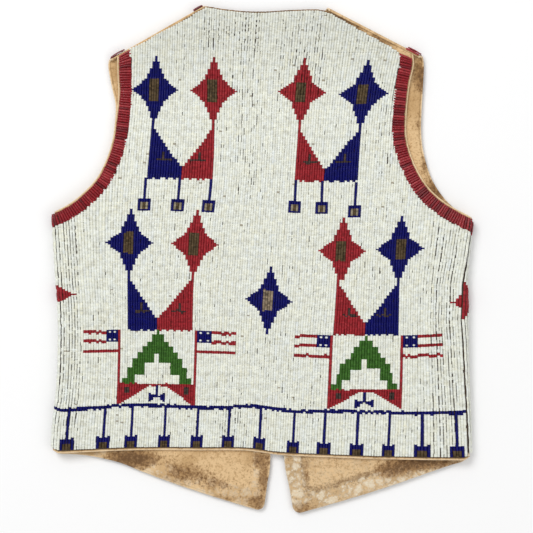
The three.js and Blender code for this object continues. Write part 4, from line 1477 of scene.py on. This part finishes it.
def ribbed_lane(name, face, edge, first, last, width, beads):
    """A lane along a cut edge, from one share of its length to another, of strings that lie across."""
    fine = np.linspace(first, last, 800)
    middle = edge(fine, np.full_like(fine, EDGE + width / 2))
    run = np.concatenate([[0], np.cumsum(np.linalg.norm(np.diff(middle, axis=0), axis=1))])
    count = round(run[-1] / RIB_PITCH)
    ribs = np.interp((np.arange(count) + 0.5) / count, run / run[-1], fine)
    ribs = np.repeat(ribs, beads)
    rib = np.repeat(np.arange(count), beads)
    phase = np.tile((np.arange(beads) + 0.5) / beads, count)
    bow = rng.normal(0, RIB_BOW, count)[rib] * np.sin(np.pi * phase)
    stretch = rng.normal(0, RIB_STRETCH, count)[rib] * (phase - 0.5)
    steps = EDGE + width * phase + stretch
    shares = ribs + bow / edge.length
    points = edge(shares, steps)
    ahead = edge(shares, steps + 0.3) - edge(shares, steps - 0.3)
    ahead /= np.linalg.norm(ahead, axis=1)[:, None]
    jitter = rng.normal(0, 0.03, (len(ribs), 3))
    lift = rng.normal(0, RIB_HEAVE, count).clip(-0.12, 0.12)[rib]
    centres, along, normals = lay_strings(face, points, ahead, phase, lift, jitter)
    shade = RED_RANGE[rng.choice(3, count, p=RED_SHARES)][rib]
    tints = shade * rng.normal(1, 0.1, (len(ribs), 1)).clip(0.75, 1.25)
    half = 0.5 / edge.length
    spread = np.linalg.norm(edge(shares + half, steps) - edge(shares - half, steps), axis=1)
    gaps = spread * np.gradient(ribs.reshape(count, beads), axis=0).ravel() * edge.length
    radii = np.clip(gaps * RIB_FILL, *RIB_HALVES) * rng.normal(1, 0.03, len(ribs)).clip(0.92, 1.06)
    halves = np.full(len(ribs), width / beads * RIB_BEAD_FILL)
    piece = string_up(name, half_bead, centres, along, normals, radii, halves, tints, points)
    piece.data.materials.append(red_glass)
    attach(piece, "root")
    return piece


for side in SIGN:
    for panel, face in (("back", 1), ("front", -1)):
        hole = armhole_edge(panel, side)
        top = 0.0
        if panel == "back":  # the lane starts where the hide is bare no more
            arc = shoulder_seam_arc("back", side) - SHOULDERS[side]["bare"][0]
            top = shoulder_share(side, hole, EDGE + ARM_BAND + SEAM_GAP, arc)
        lane_name = panel + "_armhole_lane_" + side
        piece = ribbed_lane(lane_name, face, hole, top + LANE_ENDS[0], LANE_ENDS[1], ARM_BAND, 8)
        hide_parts(panel + "_armhole_beads_" + side)
    end = LANE_ENDS[1] if side == "left" else front_cut(side, True).tops[1]
    lane_name = "front_edge_lane_" + side
    piece = ribbed_lane(lane_name, -1, opening_edge(side), OPENING_START, end, FRONT_BAND, 6)
    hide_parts("front_edge_beads_" + side)


# ---- The fronts' beadwork ----
# The fronts are beaded in the same way. They lie face down, so that only the strings at the side folds
# and over the shoulders show, and their ground is left plain.

plain_bead = bead_shape(2, math.radians(180))
front_glass = glass("front beads glass", 0.3, 0.5)
FRONT_PITCH = 2.02  # between strings
FRONT_STRINGS = 90  # more than any row holds
FRONT_FILL = 0.55  # of a string's half width to that pitch
FRONT_SINK = 0.1  # how far its beads are pressed down
FRONT_ROOM = [(0.85, 0), (-0.85, 0), (0, 0.6), (0, -0.6)]  # that a bead needs inside the outline
FOLLOW = 80  # from the side seam, in which strings follow its line
# The rest of each star that a side seam cuts: its middle's height, and its half heights in rows, string
# by string from the seam.
STAR_REST = {"left": (-27.3, [5.5, 5, 4, 3, 2, 1]), "right": (-32.0, [12, 10, 8, 6, 4, 3, 2, 1])}


def outline_holds(outline, points):
    """Which points lie inside a closed outline."""
    held = np.zeros(points.shape[:-1], bool)
    x, y = points[..., 0], points[..., 1]
    for (ax, ay), (bx, by) in zip(outline, np.roll(outline, -1, axis=0)):
        spans = (ay > y) != (by > y)
        if ay != by:
            held ^= spans & (x < (bx - ax) * (y - ay) / (by - ay) + ax)
    return held


for side, sign in SIGN.items():
    shape = front_cut(side, True)
    across, up = np.linspace(0, 1, 60), np.linspace(0, 3, 240)
    outline = np.vstack(
        [
            shape(across, np.zeros_like(across)),
            shape(np.ones_like(up), up),
            shape(across[::-1], np.full_like(across, up[-1])),
            shape(np.zeros_like(up), up[::-1]),
        ]
    )
    low, high = outline[:, 1].min(), outline[:, 1].max()
    heights = np.arange(low + 0.5 * BEAD_PITCH, high, BEAD_PITCH)
    inward = SEAM_ROOM + FRONT_PITCH * np.arange(FRONT_STRINGS)  # from the side seam
    seam = np.abs(side_seam("front", side, np.minimum(heights, SEAM_TOP))[:, 0])
    follow = 1 - ease(inward / FOLLOW)
    x = sign * (seam.mean() - inward[None, :] + follow[None, :] * (seam - seam.mean())[:, None])
    grid = np.stack([x, np.broadcast_to(heights[:, None], x.shape)], -1)
    chart = Chart(grid)
    middle, star_halves = STAR_REST[side]
    for step, half in enumerate(star_halves):
        this_string = inward[None, :] == inward[step]
        chart.fill(this_string & (np.abs(heights[:, None] - middle) <= half * BEAD_PITCH), RED)
    held = np.ones(x.shape, bool)
    for step in FRONT_ROOM:
        held &= outline_holds(outline, grid + np.array(step))
    row, string = np.nonzero(held)
    lane, phase = row // BEADS_A_STRING, (row % BEADS_A_STRING + 0.5) / BEADS_A_STRING
    points = grid[row, string]
    points[:, 0] += rng.normal(0, SWAY, (lane.max() + 1, x.shape[1]))[lane, string]
    count = len(points)
    upward = np.tile([0.0, 1.0], (count, 1))
    lift = np.full(count, -FRONT_SINK)
    jitter = rng.normal(0, JITTER, (count, 3))
    centres, along, normals = lay_strings(-1, points, upward, phase, lift, jitter)
    tints = bead_tints(chart.kinds[row, string], string, lane)
    radii = np.full(count, FRONT_PITCH * FRONT_FILL)
    halves = np.full(count, BEAD_PITCH * BEAD_FILL)
    name = "front_beads_" + side
    piece = string_up(name, plain_bead, centres, along, normals, radii, halves, tints, points)
    piece.data.materials.append(front_glass)
    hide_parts("front_beadwork_" + side)
    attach(piece, "root")
